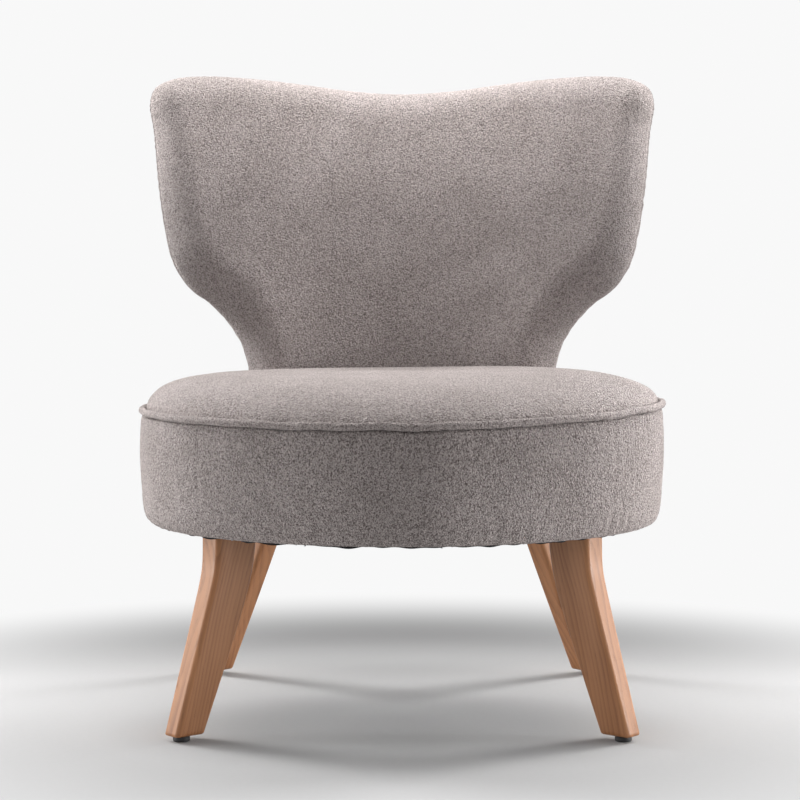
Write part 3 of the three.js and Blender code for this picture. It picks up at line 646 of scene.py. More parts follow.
def give_pile(piece, material, share=1.0):
    """Bakes the pile's lumps into a covered piece, at a share of their full depth"""
    look = settings().fabric
    values = {
        "Lump Size": look.lump_size,
        "Lump Depth": look.lump_depth * share,
        "Seed": float(settings().stage.seed),
        "Material": material,
    }
    run_tree(piece, pile_tree(), values)
    smooth_faces(piece)


def repeat_tree(name):
    """Sets one small piece at every point of a path, lengthwise along it, with a little random tilt"""
    tree = GeometryTree(name)
    geometry = tree.entering("Geometry")
    item = tree.input("Item", "NodeSocketObject")
    count = tree.input("Count", "NodeSocketInt")
    tilt = tree.input("Tilt", "NodeSocketFloat")
    seed = tree.input("Seed", "NodeSocketInt")
    material = tree.input("Material", "NodeSocketMaterial")
    curve = tree.node("GeometryNodeMeshToCurve", {}, {0: geometry})
    points = tree.node("GeometryNodeCurveToPoints", {"mode": "COUNT"}, {"Curve": curve, "Count": count})
    limits = {2: tilt * -1.0, 3: tilt, "Seed": seed}
    angle = tree.node("FunctionNodeRandomValue", {"data_type": "FLOAT"}, limits, 1)
    tilted = tree.node("FunctionNodeAxisAngleToRotation", {}, {"Axis": (0.0, 0.0, 1.0), "Angle": angle})
    turns = {"Rotation": points.other("Rotation"), "Rotate By": tilted}
    both = tree.node("FunctionNodeRotateRotation", {"rotation_space": "LOCAL"}, turns)
    shape = tree.node("GeometryNodeObjectInfo", {}, {"Object": item}, "Geometry")
    sockets = {"Points": points, "Instance": shape, "Rotation": both}
    return tree.close(tree.node("GeometryNodeInstanceOnPoints", {}, sockets), material)


# The drum


def frontness(turn):
    """1 at the front of the drum, falling to 0 at its sides and staying there"""
    return np.maximum(0.0, -np.sin(turn)) ** 2


def welt_level(turn):
    seat = settings().seat
    middle = WELT_HIGH.z - seat.welt_thickness / 2
    across = np.cos(turn)
    lift = seat.welt_tilt * across + seat.right_lift * np.maximum(0.0, across) ** 1.4
    return middle - seat.welt_dip * frontness(turn) + lift


def welt_wander(turn):
    """The welt's sewn waver, up and out"""
    wave = settings().seat.welt_wave
    return wave * ripple(turn, 9, 30, 9, 11), 0.25 * wave * ripple(turn, 12, 40, 9, 12)


def drum_points(turn, radius, height):
    """Places at a turn about the drum's axis, a distance from it and a height"""
    turn, radius, height = np.broadcast_arrays(turn, radius, height)
    return np.stack([radius * np.cos(turn), AXIS_Y + radius * np.sin(turn), height], axis=-1)


def uneven(turn, most_waves, seed):
    """A share that is larger on some stretches of the drum than on others"""
    return 0.6 + 0.4 * ripple(turn, 3, most_waves, 4, seed)


PANEL_STEP = 0.0030
CROWN_SAMPLES = 6001
NECK_LEVEL_SHARE = 0.6
SIDE_FLATNESS = 8.0
FRONT_FLATNESS = 4.0
RIGHT_SLACK = 3.4
SIDE_POWER = 0.5
FRONT_POWER = 0.7
GATHER_REACH = 0.02
STITCH_DEPTH = 0.0006
STITCH_REACH = 0.004
TUCK_REACH = 0.013
TUCK_SLOPE = 0.002
TUCK_SLOPE_REACH = 0.05
WELT_ROOM = 0.0033
PAD_SIDE_SWELL = 0.0018
PAD_FOOT_SWELL = 0.0028
PAD_FOOT_ROUND = 0.004


def neck_distance(x, y):
    """Distance outside the back's neck in plan, negative inside"""
    back = settings().back
    form = BackForm(back)
    level = WELT_HIGH.z + NECK_LEVEL_SHARE * settings().seat.crown_rise
    front = form.point(x, level, -form.front_reach(x, level))[..., 1]
    rear = form.point(x, level, back.rear_depth)[..., 1]
    half = form.half_width(level)
    return np.maximum(np.maximum(front - y, y - rear), np.abs(x) - half)


def crown_level(share, turn):
    """The panel's rise over the welt at a share of its radius, softer at the front and the right"""
    front = frontness(turn)
    flatness = SIDE_FLATNESS + (FRONT_FLATNESS - SIDE_FLATNESS) * front
    flatness = flatness - RIGHT_SLACK * np.maximum(0.0, np.cos(turn)) ** 2
    power = SIDE_POWER + (FRONT_POWER - SIDE_POWER) * front
    return settings().seat.crown_rise * np.maximum(0.0, 1.0 - share**flatness) ** power


def crown_shares(rim, count):
    """Shares of the radius that lie evenly along the crown's curve"""
    fine = np.linspace(0.0, 1.0, CROWN_SAMPLES)
    steps = np.hypot(np.diff(fine * rim), np.diff(crown_level(fine, 0.0)))
    along = np.concatenate([[0.0], np.cumsum(steps)])
    return np.interp(np.linspace(0.0, along[-1], count + 1), along, fine)


def seat_panel():
    """The crowned pad: a fan of even triangles on top, its sides under the welt and a flat base"""
    seat = settings().seat
    rim = seat.radius - seat.welt_thickness - SEAM_GAP
    count = round(rim / PANEL_STEP)
    shares = crown_shares(rim, count)
    turns, radii = [np.zeros(1)], [np.zeros(1)]
    for k in range(1, count + 1):
        turns.append(np.arange(6 * k) * TURN / (6 * k))
        radii.append(np.full(6 * k, rim * shares[k]))
    turn, radius = np.concatenate(turns), np.concatenate(radii)
    share = radius / rim
    rise = crown_level(share, turn)
    wander, _ = welt_wander(turn)
    middle = WELT_HIGH.z - seat.welt_thickness / 2
    height = middle + (welt_level(turn) - middle) * share + rise + wander * share**6
    edge = (1.0 - share) * rim
    gathers = seat.pucker * 0.5 * ripple(turn, 60, 150, 12, 21) * fading(edge, GATHER_REACH)
    height += gathers - STITCH_DEPTH * fading(edge, STITCH_REACH, 2)
    points = drum_points(turn, radius, height)
    away = np.maximum(neck_distance(points[:, 0], points[:, 1]), 0.0)
    sunk = seat.tuck * fading(away, TUCK_REACH, 2) + TUCK_SLOPE * fading(away, TUCK_SLOPE_REACH, 2)
    points[:, 2] -= sunk
    outer = points[-6 * count :]
    last = turns[-1]
    under_welt = welt_level(last) - seat.welt_thickness / 2 - WELT_ROOM
    side = [(rim + PAD_SIDE_SWELL, under_welt), (rim + PAD_FOOT_SWELL, FOAM_LOW.z + PAD_FOOT_ROUND)]
    base = [(rim * share, FOAM_LOW.z) for share in (1.0, 0.66, 0.33, 0.0)]
    below = [drum_points(last, reach, level) for reach, level in side + base]
    sides = ring_faces(len(below) + 1, 6 * count, start=len(points))
    return np.concatenate([points, outer, *below]), [*fan_faces(count), *sides]


def fan_faces(count):
    """Triangles of rings with 6 more points each time"""
    faces = []
    for k in range(1, count + 1):
        inner = 1 + 3 * (k - 1) * (k - 2) if k > 1 else 0
        outer = 1 + 3 * k * (k - 1)
        inner_size = max(1, 6 * (k - 1))
        for side in range(6):
            for i in range(k):
                a = outer + side * k + i
                b = outer + (side * k + i + 1) % (6 * k)
                c = inner + (side * (k - 1) + i) % inner_size
                faces.append((a, b, c))
                if i < k - 1:
                    d = inner + (side * (k - 1) + i + 1) % inner_size
                    faces.append((c, b, d))
    return faces


BAND_SIDES = 760
BAND_STEP = 0.0028
BULGE_LENGTH = 0.096
BAND_TUCK = 0.0014
BAND_TUCK_REACH = 0.0035
ROLL_STEPS = 18
ROLL_TURN = 0.62 * math.pi


def band_profile():
    """The turns, and rings of the band's outer face from the welt down: radius, height, way along it"""
    seat = settings().seat
    turn = np.arange(BAND_SIDES) * TURN / BAND_SIDES
    wander, _ = welt_wander(turn)
    top = welt_level(turn) + wander - seat.welt_thickness / 2 - SEAM_GAP
    foot = RAIL_LOW.z + seat.roll_rise
    outer = seat.radius - seat.welt_thickness / 2
    drop = top - foot
    rings = []
    steps = round(float(np.mean(drop)) / BAND_STEP)
    for k in range(steps + 1):
        share = k / steps
        bulge = seat.band_bulge * math.sin(math.pi * min(1.0, share * drop.mean() / BULGE_LENGTH))
        below = share * drop
        tucked = BAND_TUCK * fading(below, BAND_TUCK_REACH, 2)
        rings.append((outer + bulge - tucked, top - below, below))
    level = RAIL_LOW.z - (seat.roll_drop + (seat.front_roll_drop - seat.roll_drop) * frontness(turn))
    middle = (outer + seat.roll_inner_radius) / 2
    half = (outer - seat.roll_inner_radius) / 2
    for k in range(1, ROLL_STEPS + 1):
        angle = ROLL_TURN * k / ROLL_STEPS
        radius = middle + half * math.cos(angle)
        height = foot - (foot - level) * math.sin(angle)
        rings.append((radius, height, drop + (foot - height)))
    return turn, rings


TOP_GATHER_REACH = 0.016
TOP_GATHERS = 0.8
ALL_OVER_GATHERS = 0.22
FOOT_GATHER_REACH = 0.014
FOOT_GATHERS = 0.75
FOOT_FLAT = 0.012
SLOW_SWELL = 0.0006
RAGGED_CUT = 0.0011
FLANGE_DROP = 0.0018
ROLL_OVERLAP = 0.001
ROLL_SKIN = 0.0026
WALL_SKIN = 0.005
WALL_LEAN = 0.0004
WALL_STEPS = (-0.008, 0.03)
WALL_TOP_DROP = 0.001


def seat_band():
    """The covered band: its outer face, the roll and flange under it, and its hidden inner wall"""
    seat = settings().seat
    turn, rings = band_profile()
    full = rings[-1][2].mean()
    near = ripple(turn, 95, 190, 16, 31) * uneven(turn, 11, 32)
    far = ripple(turn, 60, 130, 14, 33) * uneven(turn, 9, 34)
    swell = SLOW_SWELL * ripple(turn, 9, 26, 8, 35)
    points = []
    for radius, height, below in rings:
        at_top = fading(below, TOP_GATHER_REACH) * (1.0 - fading(below, STITCH_REACH, 2))
        at_foot = fading(np.maximum(full - FOOT_FLAT - below, 0.0), FOOT_GATHER_REACH)
        gathers = near * (TOP_GATHERS * at_top + ALL_OVER_GATHERS) + FOOT_GATHERS * far * at_foot
        points.append(drum_points(turn, radius + seat.pucker * gathers + swell, height))
    ragged = RAGGED_CUT * ripple(turn, 40, 120, 10, 36)
    roll, flange = seat.roll_inner_radius, seat.flange_inner_radius + ragged
    under, over = RAIL_LOW.z - FLANGE_DROP, RAIL_LOW.z - SEAM_GAP
    outer = seat.radius - seat.welt_thickness / 2
    wall = outer - WALL_SKIN
    foot = RAIL_LOW.z + seat.roll_rise
    hidden = [
        (roll + ROLL_OVERLAP + ragged, under - SEAM_GAP),
        (flange, under),
        (flange, over),
        (roll + 2 * ROLL_OVERLAP, over),
        ((outer + roll) / 2, rings[-8][1] + ROLL_SKIN),
        *((wall, foot + step) for step in WALL_STEPS),
        (wall - WALL_LEAN, rings[0][1] - WALL_TOP_DROP),
    ]
    points += [drum_points(turn, radius, height) for radius, height in hidden]
    return np.concatenate(points), ring_faces(len(points), BAND_SIDES, loop=True)


WELT_SIDES = 18
WELT_SWELL = 0.05


def seat_welt():
    """The cord: rings that run round the drum, one after another about the cord's own middle"""
    seat = settings().seat
    turn = np.arange(BAND_SIDES) * TURN / BAND_SIDES
    up, out = welt_wander(turn)
    half = seat.welt_thickness / 2
    radius = half * (1.0 + WELT_SWELL * ripple(turn, 30, 160, 14, 41))
    path, level = seat.radius - half + out, welt_level(turn) + up
    rings = []
    for k in range(WELT_SIDES):
        angle = k * TURN / WELT_SIDES
        rings.append(drum_points(turn, path + radius * math.cos(angle), level + radius * math.sin(angle)))
    return np.concatenate(rings), ring_faces(WELT_SIDES, BAND_SIDES, loop=True)


# The back


# Half the outline, from the middle of the top round the wing to the neck:
# shares of the half span, and of the height from the neck's foot to the top
HALF_OUTLINE_SHARES = (
    (0.0, 0.963), (0.2, 0.971), (0.4, 0.989), (0.6, 1.003), (0.78, 1.006), (0.9, 0.995),
    (0.963, 0.969), (0.98, 0.925), (0.963, 0.843), (0.937, 0.683), (0.904, 0.551), (0.868, 0.461),
    (0.804, 0.39), (0.728, 0.346), (0.658, 0.289), (0.612, 0.233), (0.586, 0.171), (0.576, 0.089),
    (0.574, 0.03),
)
CORNER_INDEX = 6
OUTLINE_STEPS = 24
FOOT_SHARES = ((0.545, 0.006), (0.45, 0.002), (0.25, 0.002), (0.0, 0.002))


class BackForm:
    """Places on the back: x across, z up, and a depth square to the middle surface, rearwards"""

    def __init__(self, sizes):
        self.sizes = sizes
        self.foot = FOAM_LOW.z

    def plan_radius(self, z):
        """How tightly the back curves in plan at a height"""
        s = self.sizes
        share = np.clip((z - s.lean_start) / (s.top_height - s.lean_start), 0, 1)
        return s.neck_plan_radius + eased_share(share) * (s.wing_plan_radius - s.neck_plan_radius)

    def point(self, x, z, depth):
        """The place in space, square to the middle surface by the depth"""
        s = self.sizes
        x, z, depth = np.broadcast_arrays(np.asarray(x, float), z, depth)
        radius = self.plan_radius(z)
        chord = np.sqrt(np.maximum(radius**2 - x**2, 1e-6))
        over = z - s.lean_start
        root = np.sqrt(over**2 + s.lean_ease**2)
        lean = s.lean_slope * (root + over) / 2
        slope = s.lean_slope * (1 + over / root) / 2
        normal = np.stack([x / chord, np.ones_like(chord), -slope], axis=-1)
        normal /= np.linalg.norm(normal, axis=-1, keepdims=True)
        place = np.stack([x, AXIS_Y + s.neck_setback + lean - (radius - chord), z], axis=-1)
        return place + normal * depth[..., None]

    def front_reach(self, x, z):
        """Depth of the full front face, which swells towards its middle both ways"""
        half = (self.sizes.top_height - self.foot) / 2
        up = np.clip(1 - ((z - self.foot - half) / half) ** 2, 0, 1)
        across = np.clip(1 - (x / self.sizes.half_span) ** 2, 0, 1)
        return self.sizes.front_depth + self.sizes.crown_up * up + self.sizes.crown_across * across

    def control_points(self):
        """The whole outline's points, clockwise from the middle of the top as seen from the front"""
        rise = self.sizes.top_height - self.foot
        half = [*HALF_OUTLINE_SHARES, *FOOT_SHARES]
        right = [(a * self.sizes.half_span, self.foot + u * rise) for a, u in half]
        left = [(-x, z) for x, z in reversed(right[1:-1])]
        return np.array(right + left)

    def half_width(self, z):
        """The outline's half width at a height near the neck"""
        points = self.control_points()[8 : len(HALF_OUTLINE_SHARES)]
        return float(np.interp(z, points[::-1, 1], points[::-1, 0]))

    def sides(self, across, up):
        """The closed outline as one loop in four sides: top, right, foot, left"""
        points = self.control_points()
        dense, starts = smooth_loop(points, OUTLINE_STEPS)
        foot = len(HALF_OUTLINE_SHARES) - 1
        count = len(points)
        corners = [(count - CORNER_INDEX) % count, CORNER_INDEX, foot, count - foot]
        wide, down = both_ends_close(across), first_end_close(up)
        loop = []
        stretches = zip(corners, corners[1:] + corners[:1], (wide, down, wide, 1 - down[::-1]))
        for begin, end, shares in stretches:
            first, last = starts[begin], starts[end]
            span = dense[first:last] if first < last else np.concatenate([dense[first:], dense[:last]])
            span = np.concatenate([span, dense[last : last + 1]])
            loop.append(spaced(span, shares)[:-1])
        return np.concatenate(loop)


def smooth_loop(points, steps):
    """A centripetal curve through a closed ring of places, and where each place lies on it"""
    count = len(points)
    out, starts = [], []
    share = np.arange(steps) / steps
    for i in range(count):
        p0, p1, p2, p3 = (points[(i + k) % count] for k in (-1, 0, 1, 2))
        d0, d1, d2 = (math.sqrt(np.linalg.norm(b - a)) for a, b in ((p0, p1), (p1, p2), (p2, p3)))
        t1 = ((p1 - p0) / d0 - (p2 - p0) / (d0 + d1) + (p2 - p1) / d1) * d1
        t2 = ((p2 - p1) / d1 - (p3 - p1) / (d1 + d2) + (p3 - p2) / d2) * d1
        s = share[:, None]
        starts.append(i * steps)
        out.append(p1 + t1 * s + (-3 * p1 + 3 * p2 - 2 * t1 - t2) * s**2 + (2 * p1 - 2 * p2 + t1 + t2) * s**3)
    return np.concatenate(out), starts


RIM_CLOSENESS = 0.8


def both_ends_close(steps):
    """Shares from 0 to 1 that lie closer together towards both ends"""
    share = np.linspace(0, 1, steps + 1)
    return (1 - RIM_CLOSENESS) * share + RIM_CLOSENESS * (1 - np.cos(math.pi * share)) / 2


def first_end_close(steps):
    """Shares from 0 to 1 that lie closer together towards 0"""
    share = np.linspace(0, 1, steps + 1)
    return (1 - RIM_CLOSENESS) * share + RIM_CLOSENESS * (1 - np.cos(math.pi * share / 2))


def spaced(span, shares):
    """The same line with points at the shares of its length"""
    lengths = np.concatenate([[0], np.cumsum(np.linalg.norm(np.diff(span, axis=0), axis=1))])
    wanted = shares * lengths[-1]
    return np.stack([np.interp(wanted, lengths, span[:, k]) for k in range(span.shape[1])], axis=1)


INSET_STEP = 0.0012
INSET_SLIDE = 0.5
INSET_SMOOTHING = 0.04


def moved_in(loop, distance):
    """A loop of places moved inwards in small steps, its points kept evenly apart"""
    steps = max(1, math.ceil(abs(distance) / INSET_STEP))
    for _ in range(steps):
        ahead = np.roll(loop, -1, axis=0)
        behind = np.roll(loop, 1, axis=0)
        tangent = ahead - behind
        tangent /= np.linalg.norm(tangent, axis=1, keepdims=True)
        inward = np.stack([tangent[:, 1], -tangent[:, 0]], axis=1)
        if polygon_area(loop) > 0:
            inward = -inward
        loop = loop + inward * distance / steps
        for _ in range(3):
            middle = (np.roll(loop, -1, axis=0) + np.roll(loop, 1, axis=0)) / 2 - loop
            loop = loop + INSET_SLIDE * tangent * np.sum(middle * tangent, axis=1, keepdims=True)
            loop = loop + INSET_SMOOTHING * middle
    return loop


def polygon_area(loop):
    """The area inside a loop, negative where it runs clockwise"""
    x, z = loop[:, 0], loop[:, 1]
    return 0.5 * float(np.sum(x * np.roll(z, -1) - np.roll(x, -1) * z))


def patch_grid(loop, across, up):
    """A grid of places inside a loop of four sides, in rows from the top down"""
    top = loop[: across + 1]
    right = loop[across : across + up + 1]
    foot = loop[across + up : 2 * across + up + 1][::-1]
    left = np.concatenate([loop[2 * across + up :], loop[:1]])[::-1]
    u = both_ends_close(across)[None, :, None]
    v = first_end_close(up)[:, None, None]
    edges = (1 - v) * top[None] + v * foot[None] + (1 - u) * left[:, None] + u * right[:, None]
    corners = (1 - u) * (1 - v) * top[0] + u * (1 - v) * top[-1] + (1 - u) * v * foot[0] + u * v * foot[-1]
    return edges - corners


def grid_faces(across, up):
    """Quads of a grid of points in rows"""
    row = np.arange(up)[:, None] * (across + 1)
    i = np.arange(across)[None, :]
    quads = np.stack([row + i, row + i + 1, row + across + 2 + i, row + across + 1 + i], axis=-1)
    return quads.reshape(-1, 4)


REACH_POWER = 6
SHARP_RIM = 0.006
RIM_BLEND = 0.010


def rim_distance(places, outline):
    """Each place's distance from the outline, soft where two sides are equally near.

    Gives too the nearest point's index, and how much the near part of the outline faces up and down.
    """
    gaps = np.linalg.norm(np.roll(outline, -1, axis=0) - outline, axis=1)
    weight = (gaps + np.roll(gaps, 1)) / 2
    tangent = np.roll(outline, -1, axis=0) - np.roll(outline, 1, axis=0)
    tangent /= np.linalg.norm(tangent, axis=1, keepdims=True)
    scale = math.sqrt(math.pi) * math.gamma((REACH_POWER - 1) / 2) / math.gamma(REACH_POWER / 2)
    facing = np.stack([np.clip(tangent[:, 0], 0, 1), np.clip(-tangent[:, 0], 0, 1)], axis=1) ** 2
    soft, near, index, faces = [], [], [], []
    for row in places:
        apart = row[:, None] - outline[None]
        square = np.sum(apart * apart, axis=-1) + 1e-12
        nearest = np.argmin(square, axis=1)
        offset = row - outline[nearest]
        along = tangent[nearest]
        index.append(nearest)
        near.append(np.abs(offset[:, 0] * along[:, 1] - offset[:, 1] * along[:, 0]))
        pull = weight / square ** (REACH_POWER / 2)
        total = np.sum(pull, axis=1)
        soft.append((total / scale) ** (-1 / (REACH_POWER - 1)))
        faces.append(pull @ facing / total[:, None])
    soft, near = np.array(soft), np.array(near)
    blend = eased_share(np.clip((near - SHARP_RIM) / RIM_BLEND, 0, 1))
    return near + blend * (soft - near), np.array(index), np.moveaxis(np.array(faces), -1, 0)


def pad_level(distance, width, fullness):
    """A pad's height as a share, from 0 at its seam to 1 at a width away from it"""
    share = np.clip(distance / width, 0, 1)
    return np.sqrt(1 - (1 - share) ** fullness)


BACK_ACROSS = 300
BACK_UP = 200
SEAM_GATHER_REACH = 0.018
SEAM_GATHER_START = 0.003
PAD_SWELL = 0.0007


def back_face(side, grow=0.0, across=BACK_ACROSS, up=BACK_UP, tailored=True):
    """One face of the back, drawn by its distance from the seam: the front for side -1, the rear for 1.

    Gives the points and faces of the grid, and the outline, which is the grid's border.
    """
    back = settings().back
    form = BackForm(back)
    outline = form.sides(across, up)
    if grow:
        outline = moved_in(outline, -grow)
    places = patch_grid(outline, across, up)
    distance, nearest, (up_share, down_share) = rim_distance(places, outline)
    rim = border_indices(across, up)
    distance.ravel()[rim] = 0.0
    width = back.rear_round
    if side < 0:
        width = back.front_side_round + (back.front_top_round - back.front_side_round) * up_share
        width = width + (back.front_under_round - back.front_side_round) * down_share
    fullness = back.front_fullness if side < 0 else back.rear_fullness
    full = form.front_reach(places[..., 0], places[..., 1]) if side < 0 else back.rear_depth
    level = pad_level(distance, width, fullness)
    depth = (full + grow - side * back.seam_depth) * level
    if tailored:
        travel = distance + depth
        turn = np.arange(len(outline)) * TURN / len(outline)
        gathers = ripple(turn, 90, 210, 16, 51 + side)[nearest]
        fade = fading(travel, SEAM_GATHER_REACH) * (1 - fading(travel, SEAM_GATHER_START, 2))
        gathered = back.gather * gathers * fade
        depth = depth + gathered + PAD_SWELL * soft_noise(places, 61 + side) * level**4
        outward = places - places.mean(axis=(0, 1))
        outward /= np.linalg.norm(outward, axis=-1, keepdims=True) + 1e-9
        places = places + outward * gathered[..., None]
    grid = form.point(places[..., 0], places[..., 1], back.seam_depth + side * depth)
    return grid.reshape(-1, 3), grid_faces(across, up), outline


def border_indices(across, up):
    """The grid's border in the outline's order: top, right, foot, left"""
    width = across + 1
    top = np.arange(across)
    right = np.arange(up) * width + across
    foot = up * width + across - np.arange(across)
    left = (up - np.arange(up)) * width
    return np.concatenate([top, right, foot, left])


SWELL_WAVES = 12


def soft_noise(places, seed):
    """Slow swells over a surface, from a few waves that cross it in random directions"""
    random = draws(seed)
    total = np.zeros(places.shape[:-1])
    for _ in range(SWELL_WAVES):
        direction = random.normal(size=2)
        direction /= np.linalg.norm(direction)
        rate = TURN / random.uniform(0.05, 0.16)
        total += np.sin(places @ direction * rate + random.uniform(0, TURN))
    return total / math.sqrt(SWELL_WAVES)


def back_pad(side):
    """A face of the back closed behind by its hidden walls: the seam ledge, the pocket and its floor"""
    back = settings().back
    form = BackForm(back)
    points, faces, outline = back_face(side)
    seam = back.seam_depth + side * SEAM_GAP / 2
    floor = back.front_floor if side < 0 else back.rear_floor
    pocket = moved_in(outline, back.pocket_inset)
    first = moved_in(outline, back.seam_groove)
    middle = np.array([0.0, (pocket[:, 1].min() + pocket[:, 1].max()) / 2])
    hidden = [form.point(first[:, 0], first[:, 1], seam), form.point(pocket[:, 0], pocket[:, 1], seam)]
    for share in (0.0, 0.2, 0.4, 0.62, 0.82, 1.0):
        places = pocket + (middle - pocket) * share
        hidden.append(form.point(places[:, 0], places[:, 1], floor))
    rim = points[border_indices(BACK_ACROSS, BACK_UP)]
    faces = np.concatenate([faces, ring_faces(len(hidden) + 1, len(outline), start=len(points))])
    return np.concatenate([points, rim, *hidden]), faces


def back_envelope(grow):
    """The back's outer form, closed and coarser, to cut its slot in the seat"""
    across, up = BACK_ACROSS // 3, BACK_UP * 2 // 5
    front, faces, _ = back_face(-1, grow, across, up, tailored=False)
    rear, _, _ = back_face(1, grow, across, up, tailored=False)
    return np.concatenate([front, rear]), np.concatenate([faces, faces[:, ::-1] + len(front)])


# The legs


def eased(drop, ease):
    """0 before a bend and the drop after it, rounded over the ease"""
    return (np.sqrt(drop**2 + ease**2) + drop) / 2


LEG_RINGS = 72
LEG_CORNER = 7
LEG_FLAT = 5
ARRIS = 0.0016
ARRIS_PULL = 0.0012
GRAIN_SLANT = 0.8


def leg_section(inner, outer, thickness, radius):
    """A rounded rectangle as a closed loop of [x, y] places"""
    middle, half_x, half_y = (inner + outer) / 2, (outer - inner) / 2, thickness / 2
    loop = []
    for corner in range(4):
        sx = 1 if corner in (0, 3) else -1
        sy = 1 if corner < 2 else -1
        for k in range(LEG_CORNER + 1):
            angle = corner * math.pi / 2 + k / LEG_CORNER * math.pi / 2
            x = middle + sx * (half_x - radius) + radius * math.cos(angle)
            y = sy * (half_y - radius) + radius * math.sin(angle)
            loop.append((x, y))
        a = loop[-1]
        nx, ny = ((-1, 1), (-1, -1), (1, -1), (1, 1))[corner]
        if corner % 2 == 0:
            b = (middle + nx * (half_x - radius), a[1])
        else:
            b = (a[0], ny * (half_y - radius))
        for k in range(1, LEG_FLAT):
            loop.append((a[0] + (b[0] - a[0]) * k / LEG_FLAT, a[1] + (b[1] - a[1]) * k / LEG_FLAT))
    return np.array(loop)


def leg_shape(kind):
    """Points, grain places and faces of a leg drawn with +X outwards from the drum's axis"""
    legs = settings().legs
    low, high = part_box(f"{kind}_left_leg")
    height = high.z - low.z
    foot_middle = math.hypot(legs.spread_x, legs.spread_y) - legs.foot_setback
    width = getattr(legs, f"{kind}_top_width")
    top_inner = getattr(legs, f"{kind}_top_inner")
    bend = getattr(legs, f"{kind}_bend_drop")
    inner_ease = getattr(legs, f"{kind}_inner_ease")
    outer_ease = getattr(legs, f"{kind}_outer_ease")

    def edge_at(top, foot, ease, drop):
        start = eased(-bend, ease)
        run = eased(height - bend, ease) - start
        return top + (foot - top) * (eased(drop - bend, ease) - start) / run

    drops = [0.0, *np.linspace(ARRIS, height - ARRIS, LEG_RINGS), height]
    rings, grain = [], []
    for k, drop in enumerate(drops):
        inner = edge_at(top_inner, foot_middle - legs.foot_width / 2, inner_ease, drop)
        outer = edge_at(top_inner + width, foot_middle + legs.foot_width / 2, outer_ease, drop)
        thickness = legs.top_thickness + (legs.foot_thickness - legs.top_thickness) * drop / height
        pulled = ARRIS_PULL if k == len(drops) - 1 else 0.0
        loop = leg_section(inner + pulled, outer - pulled, thickness - 2 * pulled, legs.edge_radius - pulled)
        rings.append(np.column_stack([loop, np.full(len(loop), high.z - drop)]))
        slant = (foot_middle - top_inner - width / 2) * (drop / height) * GRAIN_SLANT
        grain.append(np.column_stack([loop[:, 0] - slant - top_inner, loop[:, 1], np.full(len(loop), -drop)]))
    rings, grain = with_ends(rings), with_ends(grain)
    return np.concatenate(rings), np.concatenate(grain), ring_faces(len(rings), len(rings[0]))


def with_ends(rings):
    """The rings with a ring drawn together to its middle before the first and after the last"""
    first, last = (np.tile(ring.mean(axis=0), (len(ring), 1)) for ring in (rings[0], rings[-1]))
    return [first, *rings, last]


def turned(points, angle):
    """Points turned about the drum's axis"""
    x, y, z = np.asarray(points).T
    c, s = math.cos(angle), math.sin(angle)
    return np.column_stack([x * c - y * s, AXIS_Y + x * s + y * c, z])


def leg_angles():
    """Each leg's name and its turn about the drum's axis"""
    legs = settings().legs
    angle = math.atan2(legs.spread_y, legs.spread_x)
    return {
        "front_left": math.pi + angle,
        "front_right": -angle,
        "rear_left": math.pi - angle,
        "rear_right": angle,
    }


def glide_shape():
    """A moulded disc with a rounded foot and its nail"""
    legs = settings().legs
    radius, height = legs.glide_diameter / 2, legs.glide_height
    round_foot, top_bevel = 0.0016, 0.0006
    nail, nail_length, nail_point = 0.0015, 0.016, 0.002
    steps, sides = 6, 48
    profile = [(0.0, 0.0)]
    for k in range(steps + 1):
        angle = k / steps * math.pi / 2
        profile.append((radius - round_foot * (1 - math.sin(angle)), round_foot * (1 - math.cos(angle))))
    profile += [(radius, height - top_bevel), (radius - top_bevel, height), (nail, height)]
    profile += [(nail, height + nail_length - nail_point), (0.0, height + nail_length)]
    turn = np.arange(sides) * TURN / sides
    rings = [np.column_stack([r * np.cos(turn), r * np.sin(turn), np.full(sides, z)]) for r, z in profile]
    return np.concatenate(rings), ring_faces(len(rings), sides)


# Operators, one for each piece or group of like pieces


def dress(piece, slot, *nodes, fill=None):
    """Puts a piece on the chair's one body, over the nodes that it replaces, which it hides; the slot is not
    used
    """
    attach(piece, "root")
    if nodes:
        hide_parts(*nodes)


SLOT_ROOM = 0.0006
CORD_PILE = 0.7
BAND_GRAIN = (1.0, 1.0, 0.8)
BAND_RELIEF = 1.4


class CHAIR_OT_frame(Operator):
    """Give the frame, webbing and fixings their finishes"""

    bl_idname = "slipper_chair.frame"
    bl_label = "Frame finishes"

    def execute(self, context):
        wood, webbing = frame_wood_material(), webbing_material()
        steel = steel_material("zinc_plated_steel", (0.62, 0.63, 0.64), 0.3)
        for name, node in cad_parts.items():
            kind = None
            if "strap" in name:
                kind = webbing
            elif "bolt" in name or "washer" in name:
                kind = steel
            elif "rail" in name or "block" in name or "post" in name or "wing_frame" in name:
                kind = wood
            if kind is not None:
                node.data.materials.clear()
                node.data.materials.append(kind)
        return {"FINISHED"}


class CHAIR_OT_seat_panel(Operator):
    """Build the crowned seat pad with the slot for the back"""

    bl_idname = "slipper_chair.seat_panel"
    bl_label = "Seat panel"

    def execute(self, context):
        material = fabric_material("looped_pile_panel")
        points, faces = seat_panel()
        piece = mesh_piece("seat_panel", points, faces, material)
        cutter = mesh_piece("slot_cutter", *back_envelope(SLOT_ROOM), material)
        cut_away(piece, cutter)
        give_pile(piece, material)
        dress(piece, "upholstery", "seat_top_cover", "seat_foam", fill=0.85)
        return {"FINISHED"}


